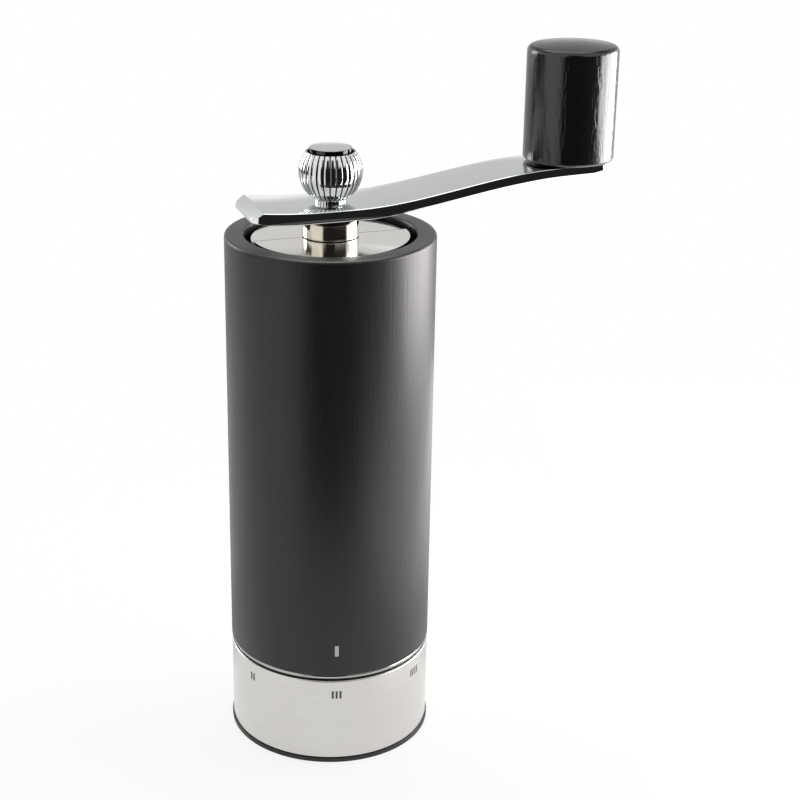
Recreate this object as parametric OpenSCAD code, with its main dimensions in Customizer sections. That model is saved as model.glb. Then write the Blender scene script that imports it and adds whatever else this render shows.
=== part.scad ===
// Slim hand crank coffee mill. Millimetres, +Z up, origin on the mill's axis at the
// underside of its foot. The crank arm lies along +X and the lid's seam lies under it.

/* [Wooden body] */
// Diameter of the wooden body
body_d = 53; // [48:0.5:58]
// Length of the wooden body
body_h = 111; // [80:0.2:150]
// Wall of the body at its mouth
rim_wall = 4.9; // [4:0.1:5.6]
// Width of the ledge that the bridge stands on
ledge_w = 3.1; // [2.9:0.1:3.6]
// Rounding of the rim's outer edge
rim_round = 1; // [0.3:0.1:2]
// Rounding of the rim's inner edge
mouth_round = 0.8; // [0.3:0.1:1.5]
// Rounding of the body's lower edge
heel_round = 0.4; // [0.2:0.1:1]

/* [Index mark] */
// Direction of the index mark around the body
index_angle = -103; // [-180:1:180]
// Width of the index mark
index_w = 1; // [0.6:0.1:3]
// Height of the index mark
index_h = 3.4; // [2:0.1:8]
// Height of the index mark above the body's lower edge
index_up = 5.6; // [3:0.1:12]
// Depth of the inlay
index_depth = 0.4; // [0.2:0.1:1]

/* [Setting ring] */
// How far the setting ring stands out beyond the body
ring_out = -0.1; // [-0.5:0.1:1.5]
// Height of the setting ring
ring_h = 22.9; // [22:0.1:32]
// Wall of the steel shell
shell_wall = 0.8; // [0.5:0.1:1.2]
// Width of the shell's inward lip
shell_lip = 0.7; // [0.4:0.1:1.2]
// Thickness of the shell's inward lip
shell_lip_t = 0.5; // [0.3:0.1:0.8]
// Wall of the ring nut behind the shell
ring_nut_wall = 3.45; // [3.1:0.05:3.6]
// Angle between two settings
setting_step = 54; // [40:1:60]
// Number of settings
setting_count = 6; // [3:1:6]
// The setting that stands at the index mark
setting_now = 3; // [1:1:6]
// Width of one bar of a setting mark
bar_w = 0.55; // [0.3:0.05:0.8]
// Distance between the bars of a setting mark
bar_pitch = 1; // [0.9:0.05:1.3]
// Height of the bars
bar_h = 2.2; // [1:0.1:5]
// Distance of the bars below the ring's top
bar_down = 2.9; // [1.5:0.1:8]
// Depth of the etched bars
bar_depth = 0.2; // [0.1:0.05:0.4]

/* [Trim collar] */
// How far the trim collar stands back from the body
trim_in = 0.3; // [0.1:0.1:1]
// Height of the polished trim collar
trim_h = 1.1; // [0.6:0.1:3]
// Wall of the trim collar
trim_wall = 1.95; // [1:0.05:2.2]

/* [Mechanism housing] */
// Width of the shoulder between the trim collar and the spigot
spigot_in = 0.3; // [0.2:0.1:0.8]
// Length of the spigot
spigot_h = 5; // [3:0.5:10]
// How far the clamping lip stands back from the trim collar
lip_in = 0.6; // [0.3:0.1:1.2]
// Thickness of that lip
lip_t = 0.4; // [0.3:0.1:1]
// Diameter of the funnel's throat
throat_d = 26; // [24:0.5:28]
// Wall of the funnel
funnel_wall = 1.4; // [1:0.1:2]
// Diameter of the guide posts
post_d = 4; // [3.6:0.1:4.2]
// Distance of the guide posts' axes from the adjusting thread
post_in = 2.8; // [2.6:0.1:2.9]
// Diameter of the housing screws
hscrew_d = 2.2; // [1.6:0.1:2.4]
// Distance of the housing screws' axes from the spigot's side
hscrew_in = 2.1; // [1.9:0.1:2.5]
// Length of the housing screws below their heads
hscrew_len = 11.4; // [8:0.1:16]
// Diameter of the housing screws' heads
hscrew_head_d = 3.8; // [3:0.1:3.8]
// Height of the housing screws' heads
hscrew_head_h = 1; // [0.7:0.1:1]

/* [Base] */
// How far the base rim stands out beyond the setting ring
base_out = 0.3; // [0:0.1:2]
// Thickness of the base rim
base_t = 1.1; // [0.9:0.1:1.6]
// Height of the raised ring that guides the setting ring
base_guide_h = 2.5; // [1.5:0.1:3]
// Distance of the outlet's edge from the guide posts' axes
outlet_in = 2.3; // [2.1:0.1:3]
// Width of the base's arms
base_arm_w = 5; // [3:0.5:7]
// Thickness of the base's arms
base_arm_t = 2.6; // [1.5:0.1:3]
// Diameter of the lower bearing hub
base_hub_d = 11; // [10:0.5:14]
// Height of the lower bearing hub above the base rim
base_hub_h = 5.1; // [4:0.1:5.6]
// Diameter of the base screws
bscrew_d = 2; // [1.4:0.1:2.2]
// Length of the base screws below their heads
bscrew_len = 10.5; // [6:0.1:14]
// Diameter of the base screws' heads
bscrew_head_d = 3.8; // [2.8:0.1:3.8]
// Height of the base screws' heads
bscrew_head_h = 1.1; // [0.6:0.1:1.1]
// Distance of the foot pad from the base's edge
pad_in = 1.5; // [0.8:0.1:1.6]
// Width of the foot pad
pad_w = 2.6; // [1.5:0.1:2.8]
// Thickness of the foot pad
pad_t = 0.8; // [0.6:0.1:0.9]
// How far the foot pad stands out below the base
pad_proud = 0.3; // [0.2:0.1:0.5]

/* [Burrs] */
// Height of the stator's underside above the base rim
stator_up = 8.2; // [7.6:0.1:9]
// Height of the stator
stator_h = 9; // [7:0.1:9.4]
// Distance of the stator's edge from the guide posts' axes
stator_in = 3.2; // [3.1:0.1:3.6]
// Width of the stator at its top
stator_top_w = 4.9; // [4.6:0.1:5.8]
// Number of teeth on the stator
stator_teeth = 24; // [16:1:32]
// Width of the stator's grooves for each millimetre between two teeth
stator_groove = 0.6; // [0.4:0.05:0.65]
// Wall under the stator in its carrier
carrier_floor = 0.8; // [0.6:0.1:1.2]
// Width of the ledge that carries the stator
carrier_ledge = 2.9; // [1.5:0.1:3]
// Height of the carrier's rim above the stator
carrier_rim = 1.2; // [1:0.1:1.4]
// Thickness of the stator's retaining ring
retainer_t = 0.8; // [0.5:0.1:1]
// Width of the stator's retaining ring
retainer_w = 1.6; // [1:0.1:2]
// How far the rotor's lower edge stands in from the stator's edge
rotor_in = 4.2; // [4.1:0.1:5]
// How much the rotor's radius shrinks towards its top
rotor_taper = 4.7; // [4.2:0.1:5]
// Height of the rotor
rotor_h = 10.4; // [9.6:0.1:10.6]
// Number of flutes on the rotor
rotor_flutes = 10; // [6:1:14]
// Depth of the rotor's flutes
rotor_flute_d = 1.4; // [0.8:0.1:1.8]
// Gap between the burrs at their lower edge
burr_gap = 0.55; // [0.5:0.05:0.8]

/* [Shaft] */
// Diameter of the shaft
shaft_d = 6; // [5.9:0.1:6.2]
// Diameter of the lower journal
journal_d = 5; // [4.6:0.1:5]
// Width of the square that drives the rotor
rotor_sq = 5; // [5:0.1:5.4]
// Diameter of the collar above the rotor
collar_d = 9; // [8:0.1:11]
// Thickness of the collar above the rotor
collar_t = 1; // [0.8:0.1:1.5]
// Width of the square that carries the crank arm
arm_sq = 4.2; // [4:0.1:4.2]
// Diameter of the threaded stud
stud_d = 4; // [3:0.1:4]
// Length of the threaded stud above the arm
stud_h = 9.2; // [7:0.1:10.4]
// Thickness of the retaining clips
clip_t = 0.7; // [0.5:0.1:0.8]
// Depth of the clips' grooves
clip_groove = 0.5; // [0.3:0.1:0.6]
// Outer diameter of the shaft's clip
clip_d = 10; // [9:0.1:12]
// Outer diameter of the rotor's clip
rotor_clip_d = 9; // [8:0.1:11]

/* [Top bearing] */
// Depth of the bridge's seat below the rim
bridge_down = 11.6; // [10:0.1:20]
// Thickness of the bridge
bridge_t = 4; // [3:0.1:5]
// Width of the bridge's arms
bridge_arm_w = 6; // [4:0.5:8]
// Diameter of the bridge's hub
hub_d = 13.2; // [12.6:0.1:14]
// Diameter of the boss that the shutter turns on
boss_d = 11.2; // [10.8:0.1:11.6]
// Diameter of the boss that holds the fixed half
boss_top_d = 9.6; // [9.3:0.1:10]
// Outer diameter of the bearing bushes
bush_d = 7.8; // [7.4:0.1:8]
// Diameter of the upper bush's flange
bush_flange_d = 11; // [9.5:0.1:12.6]
// Thickness of the upper bush's flange
bush_flange_t = 0.6; // [0.4:0.1:1]
// Diameter of the bridge screws
tscrew_d = 1.6; // [1.2:0.1:1.8]
// Length of the bridge screws below their heads
tscrew_len = 11; // [7:0.1:16]
// Diameter of the bridge screws' heads
tscrew_head_d = 2.4; // [2:0.1:2.6]
// Height of the bridge screws' heads
tscrew_head_h = 0.9; // [0.6:0.1:1.2]

/* [Lid] */
// Gap between the lid and the mouth
lid_side = 1.8; // [0.8:0.1:2.6]
// Thickness of each half of the lid
lid_t = 0.6; // [0.5:0.1:0.8]
// Depth of the lid below the rim
lid_down = 0.8; // [0.8:0.1:3]
// How far the shutter reaches under the fixed half
lid_lap = 0.8; // [0.4:0.1:2]
// Diameter of the halves' hub rings
lid_hub_d = 14.4; // [13.6:0.1:14.6]
// Outer diameter of the lid's clip
lid_clip_d = 12.2; // [11.4:0.1:12.4]
// Thickness of the lid's clip
lid_clip_t = 0.6; // [0.4:0.1:0.6]
// Thickness of the thrust washer
washer_t = 0.4; // [0.3:0.1:0.6]

/* [Neck] */
// Diameter of the neck's foot and head
neck_d = 14.3; // [14.2:0.1:16.5]
// Diameter of the neck's waist
neck_waist_d = 13.9; // [13.7:0.05:14.1]
// Height of the neck
neck_h = 5.5; // [4.6:0.1:9]
// Height of the straight bands at the neck's ends
neck_band = 0.5; // [0.3:0.1:0.8]
// Diameter of the recess under the neck
neck_recess_d = 13; // [12.9:0.1:13.2]

/* [Crank arm] */
// Width of the arm at its tail
arm_w = 19.6; // [15:0.1:21]
// Width of the arm under the knob
arm_w_end = 16.6; // [13:0.1:18]
// Distance from the shaft to the knob
arm_reach = 63.3; // [45:0.1:90]
// Length of the arm beyond the knob's axis
arm_end = 7.4; // [6:0.1:11]
// Length of the arm behind the shaft
arm_tail = 22.4; // [18:0.1:26]
// Thickness of the arm at the shaft
arm_t = 2.8; // [2.4:0.1:4]
// Thickness of the arm at the knob
arm_tip_t = 2; // [1.5:0.1:3]
// Rise of the arm from the shaft to the knob
arm_rise = 6.3; // [2:0.1:14]
// Lift of the arm's tail
arm_lift = 1.2; // [0:0.1:2.5]
// Length of the bevel on the tail
arm_bevel = 2.8; // [2:0.1:5]
// Drop of the bevel on the tail
bevel_drop = 2; // [0.2:0.05:2.2]
// Drop of the tip's underside beyond the rivet
tip_taper = 0.7; // [0:0.1:0.9]
// Length over which the arm thins out beyond the neck
arm_thin = 12; // [6:0.5:24]
// Rounding of the corners at the arm's tail
tail_corner = 3; // [1.5:0.1:5]
// Rounding of the corners at the arm's tip
arm_corner = 1.5; // [1:0.1:5]
// Length of the flat under the nut
nut_seat = 8; // [7.4:0.1:9]
// Length of the flat on the neck
neck_seat = 16.6; // [16.6:0.1:18]

/* [Ball nut] */
// Diameter of the ball nut
nut_d = 15.9; // [14.5:0.1:20]
// Height of the ball nut without its cap
nut_h = 12.7; // [12.2:0.1:18]
// Diameter of the ball nut's foot
nut_foot_d = 8; // [6.9:0.1:8]
// Width of the rim around the cap's groove
nut_rim = 0.4; // [0.2:0.05:0.6]
// Width of the groove around the cap
cap_groove = 0.5; // [0.4:0.05:0.8]
// Diameter of the cap
cap_d = 10.6; // [8:0.1:11]
// Height of the cap's edge above the rim
cap_edge = 1; // [0.3:0.05:1.3]
// Rise of the cap's domed top
cap_rise = 0.2; // [0:0.05:1]
// Depth of the cap's seat
cap_seat = 0.9; // [0.6:0.1:1]
// Diameter of the threaded insert
insert_d = 5.8; // [5.4:0.1:6]
// Length of the threaded insert
insert_h = 8; // [6:0.1:9]

/* [Knob] */
// Diameter of the knob
knob_d = 23; // [18:0.5:30]
// Height of the knob
knob_h = 29.4; // [24:0.1:40]
// Rise of the knob's domed top
knob_dome = 0.7; // [0.2:0.1:2]
// Rounding of the knob's upper edge
knob_round = 1.6; // [0.5:0.1:4]
// Rounding of the knob's lower edge
knob_heel = 0.8; // [0.3:0.1:2]
// Diameter of the knob's pin
pin_d = 5; // [4:0.1:6]
// Length of the pin inside the knob
pin_len = 21.5; // [14:0.1:22.4]
// Diameter of the pin's collar
pin_collar_d = 9.2; // [8:0.1:13]
// Height of the pin's collar
pin_collar_h = 0.4; // [0.2:0.1:3]
// Diameter of the rivet head under the arm
rivet_d = 6.8; // [6.2:0.1:9]
// Height of the rivet head
rivet_h = 1.4; // [1:0.1:3]
// Wall of the knob's bush
knob_bush_wall = 1.6; // [1:0.1:2.4]

/* [Clearances] */
// Radial clearance of a turning or sliding fit
run_fit = 0.08; // [0.05:0.01:0.1]
// Radial clearance of a bearing or a thread
bearing_fit = 0.05; // [0.03:0.01:0.08]
// Clearance around a part that is fixed in its seat
seat_gap = 0.05; // [0.03:0.01:0.1]
// Axial clearance of a turning part
axial_gap = 0.1; // [0.05:0.01:0.2]
// Height of the neck above the lid
neck_gap = 0.2; // [0.15:0.05:0.4]

/* [Detent] */
// Width of the detent spring
detent_w = 1.5; // [1:0.1:1.8]
// Thickness of the detent spring
detent_t = 0.25; // [0.2:0.05:0.3]
// Half of the angle that the detent spring spans
detent_half = 18; // [8:1:24]
// Radius of the detent spring's bump
detent_r = 0.6; // [0.5:0.05:0.7]

/* [Hidden] */
$fn = 96;

// heights of the lower half
base_z = pad_proud;
base_top = base_z + base_t;
ring_z = base_top + axial_gap;
ring_top = ring_z + ring_h;
lip_z = ring_top + axial_gap;
trim_z = lip_z + lip_t;
body_z = trim_z + trim_h;
seat_z = body_z + spigot_h;
ring_nut_top = ring_top - shell_lip_t;
base_guide_top = base_top + base_guide_h;
base_hub_top = base_top + base_hub_h;
stator_z = base_top + stator_up;
stator_top = stator_z + stator_h;
carrier_z = stator_z - carrier_floor;
carrier_top = stator_top + carrier_rim;
throat_z = carrier_top + 1.6;
rotor_z = stator_z - 0.6;
rotor_top = rotor_z + rotor_h;
collar_top = rotor_top + collar_t;
rotor_clip_z = rotor_z - clip_t;
shaft_z = base_z + 1.9;

// heights of the upper half
body_top = body_z + body_h;
bridge_z = body_top - bridge_down;
lid_top = body_top - lid_down;
fixed_z = lid_top - lid_t;
shutter_z = fixed_z - axial_gap - lid_t;
hub_top = shutter_z - axial_gap;
boss_top = lid_top + lid_clip_t + 0.2;
neck_z = lid_top + neck_gap;
recess_top = boss_top + washer_t;
arm_seat_z = neck_z + neck_h;
arm_top = arm_seat_z + arm_t;
tip_top = arm_top + arm_rise;
tip_bottom = tip_top - arm_tip_t;
flange_z = bridge_z - bush_flange_t;
clip_z = flange_z - axial_gap - clip_t;
nut_top = arm_top + nut_h;
nut_top_d = cap_d + 2 * cap_groove + 2 * nut_rim;
cap_top = nut_top + cap_edge;
knob_z = tip_top + pin_collar_h + axial_gap;
knob_top = knob_z + knob_h;

// radii
body_r = body_d / 2;
mouth_r = body_r - rim_wall;
hopper_r = mouth_r - ledge_w;
lid_r = mouth_r - lid_side;
ring_r = body_r + ring_out;
shell_in = ring_r - shell_wall;
thread_r = shell_in - seat_gap - ring_nut_wall;
thread_male = thread_r - run_fit;
trim_r = body_r - trim_in;
trim_bore_r = trim_r - trim_wall;
lip_r = trim_r - lip_in;
shoulder_r = trim_bore_r - seat_gap;
spigot_r = shoulder_r - spigot_in;
hscrew_r = spigot_r - hscrew_in;
base_r = ring_r + base_out;
pad_out_r = base_r - pad_in;
pad_bore_r = pad_out_r - pad_w;
post_r = thread_r - post_in;
outlet_r = post_r - outlet_in;
stator_r = post_r - stator_in;
stator_top_r = stator_r - stator_top_w;
rotor_r = stator_r - rotor_in;
rotor_top_r = rotor_r - rotor_taper;
post_angles = [30, 150, 270];
hscrew_angles = [90, 210, 330];
tscrew_angles = [90, 225, 315];
bridge_angles = [0, 180, 270];
bridge_r = mouth_r - seat_gap;
tscrew_r = (hopper_r + bridge_r) / 2;
knob_bore_r = pin_d / 2 + bearing_fit + knob_bush_wall;

// points on an arc, from angle a to angle b
function arc(x, y, r, a, b, n = 8) =
    [for (i = [0:n]) let (t = a + (b - a) * i / n) [x + r * cos(t), y + r * sin(t)]];
// smooth step from 0 to 1
function ease(t) = let (u = min(1, max(0, t))) u * u * (3 - 2 * u);

module ring(r_in, r_out, z, h) {
    translate([0, 0, z]) difference() {
        cylinder(r = r_out, h = h);
        translate([0, 0, -1]) cylinder(r = r_in, h = h + 2);
    }
}

module pole(r, a, z, d, h) {
    rotate([0, 0, a]) translate([r, 0, z]) cylinder(d = d, h = h);
}

// screw standing on its head, with a hexagon socket
module screw_up(r, a, z, d, len, head_d, head_h) {
    rotate([0, 0, a]) translate([r, 0, z]) difference() {
        union() {
            cylinder(d = head_d, h = head_h);
            cylinder(d = d, h = head_h + len);
        }
        translate([0, 0, -1]) cylinder(d = head_d * 0.45, h = 1 + head_h * 0.6, $fn = 6);
    }
}

// one tally bar standing on the z axis' -Y side, as a radial block
module bar(r, w, z, h) {
    translate([r - 3, -w / 2, z]) cube([6, w, h]);
}

// all bars of the settings, each group turned to its place
module tally(r) {
    for (k = [1:setting_count]) {
        centre = index_angle + (k - setting_now) * setting_step;
        for (i = [0:k - 1])
            rotate([0, 0, centre + (i - (k - 1) / 2) * bar_pitch / r * 180 / PI])
                bar(r, bar_w, ring_top - bar_down - bar_h, bar_h);
    }
}

module wood_body() color("#3a3432") difference() {
    rotate_extrude() polygon(concat(
        [[spigot_r + seat_gap, body_z], [spigot_r + seat_gap, seat_z],
         [hopper_r, seat_z], [hopper_r, bridge_z], [mouth_r, bridge_z]],
        arc(mouth_r + mouth_round, body_top - mouth_round, mouth_round, 180, 90),
        arc(body_r - rim_round, body_top - rim_round, rim_round, 90, 0),
        arc(body_r - heel_round, body_z + heel_round, heel_round, 0, -90, 4)));
    index_block(1);
    for (a = hscrew_angles)
        pole(hscrew_r, a, seat_z - 1, hscrew_d + 2 * seat_gap, hscrew_seat + hscrew_len + seat_gap - seat_z + 1);
    for (a = tscrew_angles)
        pole(tscrew_r, a, tscrew_seat - tscrew_len - seat_gap, tscrew_d + 2 * seat_gap, tscrew_len + 1);
}

hscrew_seat = lip_z + hscrew_head_h + 0.1;
bscrew_seat = base_z + bscrew_head_h + 0.1;
tscrew_seat = bridge_z + bridge_t - tscrew_head_h;

module index_block(extra) {
    rotate([0, 0, index_angle]) intersection() {
        ring(body_r - index_depth, body_r + extra, body_z + index_up, index_h);
        translate([body_r - 3, -index_w / 2, body_z]) cube([6, index_w, index_up + index_h + 1]);
    }
}

module index_mark() color("#c9c6c2") index_block(0);

module trim_collar() color("#e8e6e2")
    ring(trim_bore_r, trim_r, trim_z, trim_h);

module housing() color("#2b2b2d") difference() {
    union() {
        rotate_extrude() polygon([
            [throat_d / 2, throat_z], [throat_d / 2 + funnel_wall, throat_z],
            [throat_d / 2 + funnel_wall + (hopper_r - throat_d / 2) * (lip_z - throat_z) / (seat_z - throat_z), lip_z],
            [lip_r, lip_z], [lip_r, trim_z], [shoulder_r, trim_z], [shoulder_r, body_z],
            [spigot_r, body_z], [spigot_r, seat_z], [hopper_r, seat_z]]);
        for (a = post_angles) pole(post_r, a, base_guide_top, post_d, lip_z + 0.5 - base_guide_top);
    }
    for (a = post_angles)
        pole(post_r, a, base_guide_top - 1, bscrew_d + 2 * seat_gap, bscrew_seat + bscrew_len + seat_gap - base_guide_top + 1);
    for (a = hscrew_angles) {
        pole(hscrew_r, a, lip_z - 1, hscrew_head_d + 4 * seat_gap, hscrew_seat - lip_z + 1);
        pole(hscrew_r, a, lip_z, hscrew_d + 2 * seat_gap, seat_z - lip_z + 1);
    }
}

module housing_screws() color("#b9bcc0") for (a = hscrew_angles)
    screw_up(hscrew_r, a, hscrew_seat - hscrew_head_h, hscrew_d, hscrew_len, hscrew_head_d, hscrew_head_h);

module base_plate() color("#1d1d1f") difference() {
    union() {
        ring(outlet_r, base_r, base_z, base_t);
        ring(outlet_r, thread_male, base_z, base_t + base_guide_h);
        translate([0, 0, base_z + 0.5]) cylinder(d = base_hub_d, h = base_hub_top - base_z - 0.5);
        for (a = post_angles) rotate([0, 0, a])
            translate([0, -base_arm_w / 2, base_z + 0.5]) cube([outlet_r + 0.6, base_arm_w, base_arm_t]);
    }
    translate([0, 0, base_z + 1.5]) cylinder(d = bush_d + 2 * seat_gap, h = base_hub_h + 5);
    ring(pad_bore_r - seat_gap, pad_out_r + seat_gap, -1, pad_t + 1);
    for (a = post_angles) {
        pole(post_r, a, base_z - 1, bscrew_head_d + 4 * seat_gap, bscrew_seat - base_z + 1);
        pole(post_r, a, base_z - 1, bscrew_d + 2 * seat_gap, base_t + base_guide_h + 2);
    }
}

module base_screws() color("#b9bcc0") for (a = post_angles)
    screw_up(post_r, a, bscrew_seat - bscrew_head_h, bscrew_d, bscrew_len, bscrew_head_d, bscrew_head_h);

module foot_pad() color("#101011") ring(pad_bore_r, pad_out_r, 0, pad_t);

module lower_bush() color("#d9c9a0") difference() {
    translate([0, 0, base_z + 1.5]) cylinder(d = bush_d, h = base_hub_top - base_z - 1.5);
    translate([0, 0, shaft_z]) cylinder(r = journal_d / 2 + bearing_fit, h = 10);
}

module detent_spring() color("#c0c4c8") difference() {
    rotate([0, 0, index_angle + 180]) union() {
        translate([0, 0, lip_z - detent_t]) rotate([0, 0, -detent_half])
            rotate_extrude(angle = 2 * detent_half)
                translate([detent_track - detent_w / 2, 0]) square([detent_w, detent_t]);
        translate([detent_track, 0, ring_nut_top + seat_gap + detent_r]) sphere(r = detent_r);
    }
    translate([0, 0, lip_z]) cylinder(r = body_r + 1, h = lip_t + trim_h);
}

detent_track = (thread_r + shell_in - shell_lip) / 2;

module top_bridge() color("#232325") difference() {
    union() {
        ring(hopper_r, bridge_r, bridge_z, bridge_t);
        for (a = bridge_angles) rotate([0, 0, a])
            translate([0, -bridge_arm_w / 2, bridge_z]) cube([hopper_r + 0.6, bridge_arm_w, bridge_t - 0.5]);
        translate([0, 0, bridge_z]) cylinder(d = hub_d, h = hub_top - bridge_z);
        translate([0, 0, bridge_z]) cylinder(d = boss_d, h = fixed_z - bridge_z);
        translate([0, 0, bridge_z]) cylinder(d = boss_top_d, h = boss_top - bridge_z);
    }
    translate([0, 0, bridge_z - 1]) cylinder(d = bush_d + 2 * seat_gap, h = boss_top - bridge_z + 2);
    for (a = tscrew_angles) {
        pole(tscrew_r, a, tscrew_seat, tscrew_head_d + 4 * seat_gap, bridge_t);
        pole(tscrew_r, a, bridge_z - 1, tscrew_d + 2 * seat_gap, bridge_t + 2);
    }
}

module bridge_screws() color("#b9bcc0")
    translate([0, 0, 2 * tscrew_seat]) mirror([0, 0, 1]) for (a = tscrew_angles)
        screw_up(tscrew_r, a, tscrew_seat - tscrew_head_h, tscrew_d, tscrew_len, tscrew_head_d, tscrew_head_h);

module upper_bush() color("#d9c9a0") difference() {
    union() {
        translate([0, 0, flange_z]) cylinder(d = bush_flange_d, h = bush_flange_t);
        translate([0, 0, flange_z]) cylinder(d = bush_d, h = boss_top - flange_z);
    }
    translate([0, 0, flange_z - 1]) cylinder(r = shaft_d / 2 + bearing_fit, h = boss_top - flange_z + 2);
}

module thrust_washer() color("#c8b070")
    ring(shaft_d / 2 + run_fit, boss_top_d / 2, boss_top, washer_t);

module lid_fixed() color("#d8d4c8") translate([0, 0, fixed_z]) linear_extrude(lid_t) difference() {
    union() {
        intersection() {
            circle(r = lid_r);
            translate([-2 * lid_r, -2 * lid_r]) square([4 * lid_r, 2 * lid_r]);
        }
        circle(d = lid_hub_d);
    }
    circle(r = boss_top_d / 2 + seat_gap);
}

module lid_clip() color("#9a9a9a")
    ring(boss_top_d / 2 + seat_gap, lid_clip_d / 2, lid_top, lid_clip_t);

module lid_shutter() color("#cfcabc") translate([0, 0, shutter_z]) linear_extrude(lid_t) difference() {
    union() {
        intersection() {
            circle(r = lid_r);
            translate([-2 * lid_r, -lid_lap]) square([4 * lid_r, 2 * lid_r]);
        }
        circle(d = lid_hub_d);
    }
    circle(r = boss_d / 2 + run_fit);
}

module ring_shell() color("#b8b6b0") difference() {
    rotate_extrude() polygon(concat(
        [[shell_in, ring_z], [shell_in, ring_nut_top], [shell_in - shell_lip, ring_nut_top],
         [shell_in - shell_lip, ring_top]],
        arc(ring_r - 0.4, ring_top - 0.4, 0.4, 90, 0, 4),
        [[ring_r, ring_z + 0.2], [ring_r - 0.2, ring_z]]));
    intersection() {
        ring(ring_r - bar_depth, ring_r + 1, ring_z, ring_h);
        tally(ring_r);
    }
}

module setting_marks() color("#2a2a2c") intersection() {
    ring(ring_r - bar_depth, ring_r - 0.03, ring_z, ring_h);
    tally(ring_r);
}

module ring_nut() color("#3c3c40") difference() {
    ring(thread_r, shell_in - seat_gap, ring_z, ring_nut_top - ring_z);
    for (k = [1:setting_count]) rotate([0, 0, index_angle + 180 + (k - setting_now) * setting_step])
        translate([detent_track, 0, ring_nut_top + detent_r - 0.25]) sphere(r = detent_r);
}

module stator_carrier() color("#55575c") difference() {
    translate([0, 0, carrier_z]) cylinder(r = thread_male, h = carrier_top - carrier_z);
    translate([0, 0, carrier_z - 1]) cylinder(r = stator_r + seat_gap - carrier_ledge, h = carrier_top - carrier_z + 2);
    translate([0, 0, stator_z]) cylinder(r = stator_r + seat_gap, h = carrier_top - stator_z + 1);
    for (a = post_angles) pole(post_r, a, carrier_z - 1, post_d + 2 * run_fit, carrier_top - carrier_z + 2);
}

stator_foot_r = rotor_r - rotor_taper / rotor_h * (stator_z - rotor_z) + burr_gap;

groove_w = stator_groove * 2 * PI * stator_top_r / stator_teeth;

module stator_burr() color("#8d9094") difference() {
    rotate_extrude() polygon([
        [stator_foot_r, stator_z], [stator_r, stator_z], [stator_r, stator_top], [stator_top_r, stator_top]]);
    for (i = [0:stator_teeth - 1]) rotate([0, 0, (i + 0.5) * 360 / stator_teeth])
        translate([stator_top_r - groove_w / 3, 0, stator_z - 1]) rotate([0, 5, 0]) rotate([0, 0, 45])
            translate([-groove_w / 2, -groove_w / 2, 0]) cube([groove_w, groove_w, stator_h + 3]);
}

module stator_retainer() color("#a9adb2")
    ring(stator_r - retainer_w, stator_r, stator_top, retainer_t);

module shaft() color("#a7aaae") difference() {
    union() {
        translate([0, 0, shaft_z]) cylinder(d = journal_d, h = rotor_z - shaft_z);
        translate([-rotor_sq / 2, -rotor_sq / 2, rotor_z]) cube([rotor_sq, rotor_sq, rotor_h]);
        translate([0, 0, rotor_top]) cylinder(d = collar_d, h = collar_t);
        translate([0, 0, rotor_top]) cylinder(d = shaft_d, h = boss_top + 0.2 - rotor_top);
        translate([-arm_sq / 2, -arm_sq / 2, boss_top]) cube([arm_sq, arm_sq, arm_top - 0.4 - boss_top]);
        translate([0, 0, boss_top]) cylinder(d = stud_d, h = arm_top + stud_h - boss_top);
    }
    ring(journal_d / 2 - clip_groove, journal_d, rotor_clip_z, clip_t);
    ring(shaft_d / 2 - clip_groove, shaft_d, clip_z, clip_t);
}

module rotor_burr() color("#85888c") difference() {
    rotate_extrude() polygon([
        [0, rotor_z], [rotor_r, rotor_z], [rotor_top_r, rotor_top], [0, rotor_top]]);
    translate([-rotor_sq / 2 - seat_gap, -rotor_sq / 2 - seat_gap, rotor_z - 1])
        cube([rotor_sq + 2 * seat_gap, rotor_sq + 2 * seat_gap, rotor_h + 2]);
    for (i = [0:rotor_flutes - 1]) rotate([0, 0, i * 360 / rotor_flutes])
        translate([(rotor_r + rotor_top_r) / 2 + 0.4, 0, (rotor_z + rotor_top) / 2])
            rotate([22, 0, 0]) rotate([0, -24, 0]) rotate([0, 0, 45])
                cube([rotor_flute_d, rotor_flute_d, rotor_h * 2], center = true);
}

// open retaining clip in a shaft groove
module open_clip(r_in, r_out, z) {
    difference() {
        ring(r_in, r_out, z, clip_t);
        translate([0, -r_in * 0.8, z - 1]) cube([r_out + 1, r_in * 1.6, clip_t + 2]);
    }
}

module rotor_clip() color("#6e7074") open_clip(journal_d / 2 - clip_groove + seat_gap, rotor_clip_d / 2, rotor_clip_z);

module shaft_clip() color("#6e7074") open_clip(shaft_d / 2 - clip_groove + seat_gap, clip_d / 2, clip_z);

neck_r = neck_d / 2;
waist_in = (neck_d - neck_waist_d) / 2;
waist_half = neck_h / 2 - neck_band;
waist_arc = (waist_in * waist_in + waist_half * waist_half) / 2 / waist_in;
waist_angle = asin(waist_half / waist_arc);

module neck_collar() color("#e0dccb") difference() {
    rotate_extrude() polygon(concat(
        [[0, neck_z], [neck_r, neck_z]],
        arc(neck_waist_d / 2 + waist_arc, neck_z + neck_h / 2, waist_arc, 180 + waist_angle, 180 - waist_angle, 12),
        [[neck_r, arm_seat_z], [0, arm_seat_z]]));
    translate([0, 0, neck_z - 1]) cylinder(d = neck_recess_d, h = recess_top - neck_z + 1);
    square_hole(neck_z - 1, neck_h + 2);
}

module square_hole(z, h) {
    translate([-arm_sq / 2 - seat_gap, -arm_sq / 2 - seat_gap, z])
        cube([arm_sq + 2 * seat_gap, arm_sq + 2 * seat_gap, h]);
}

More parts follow.
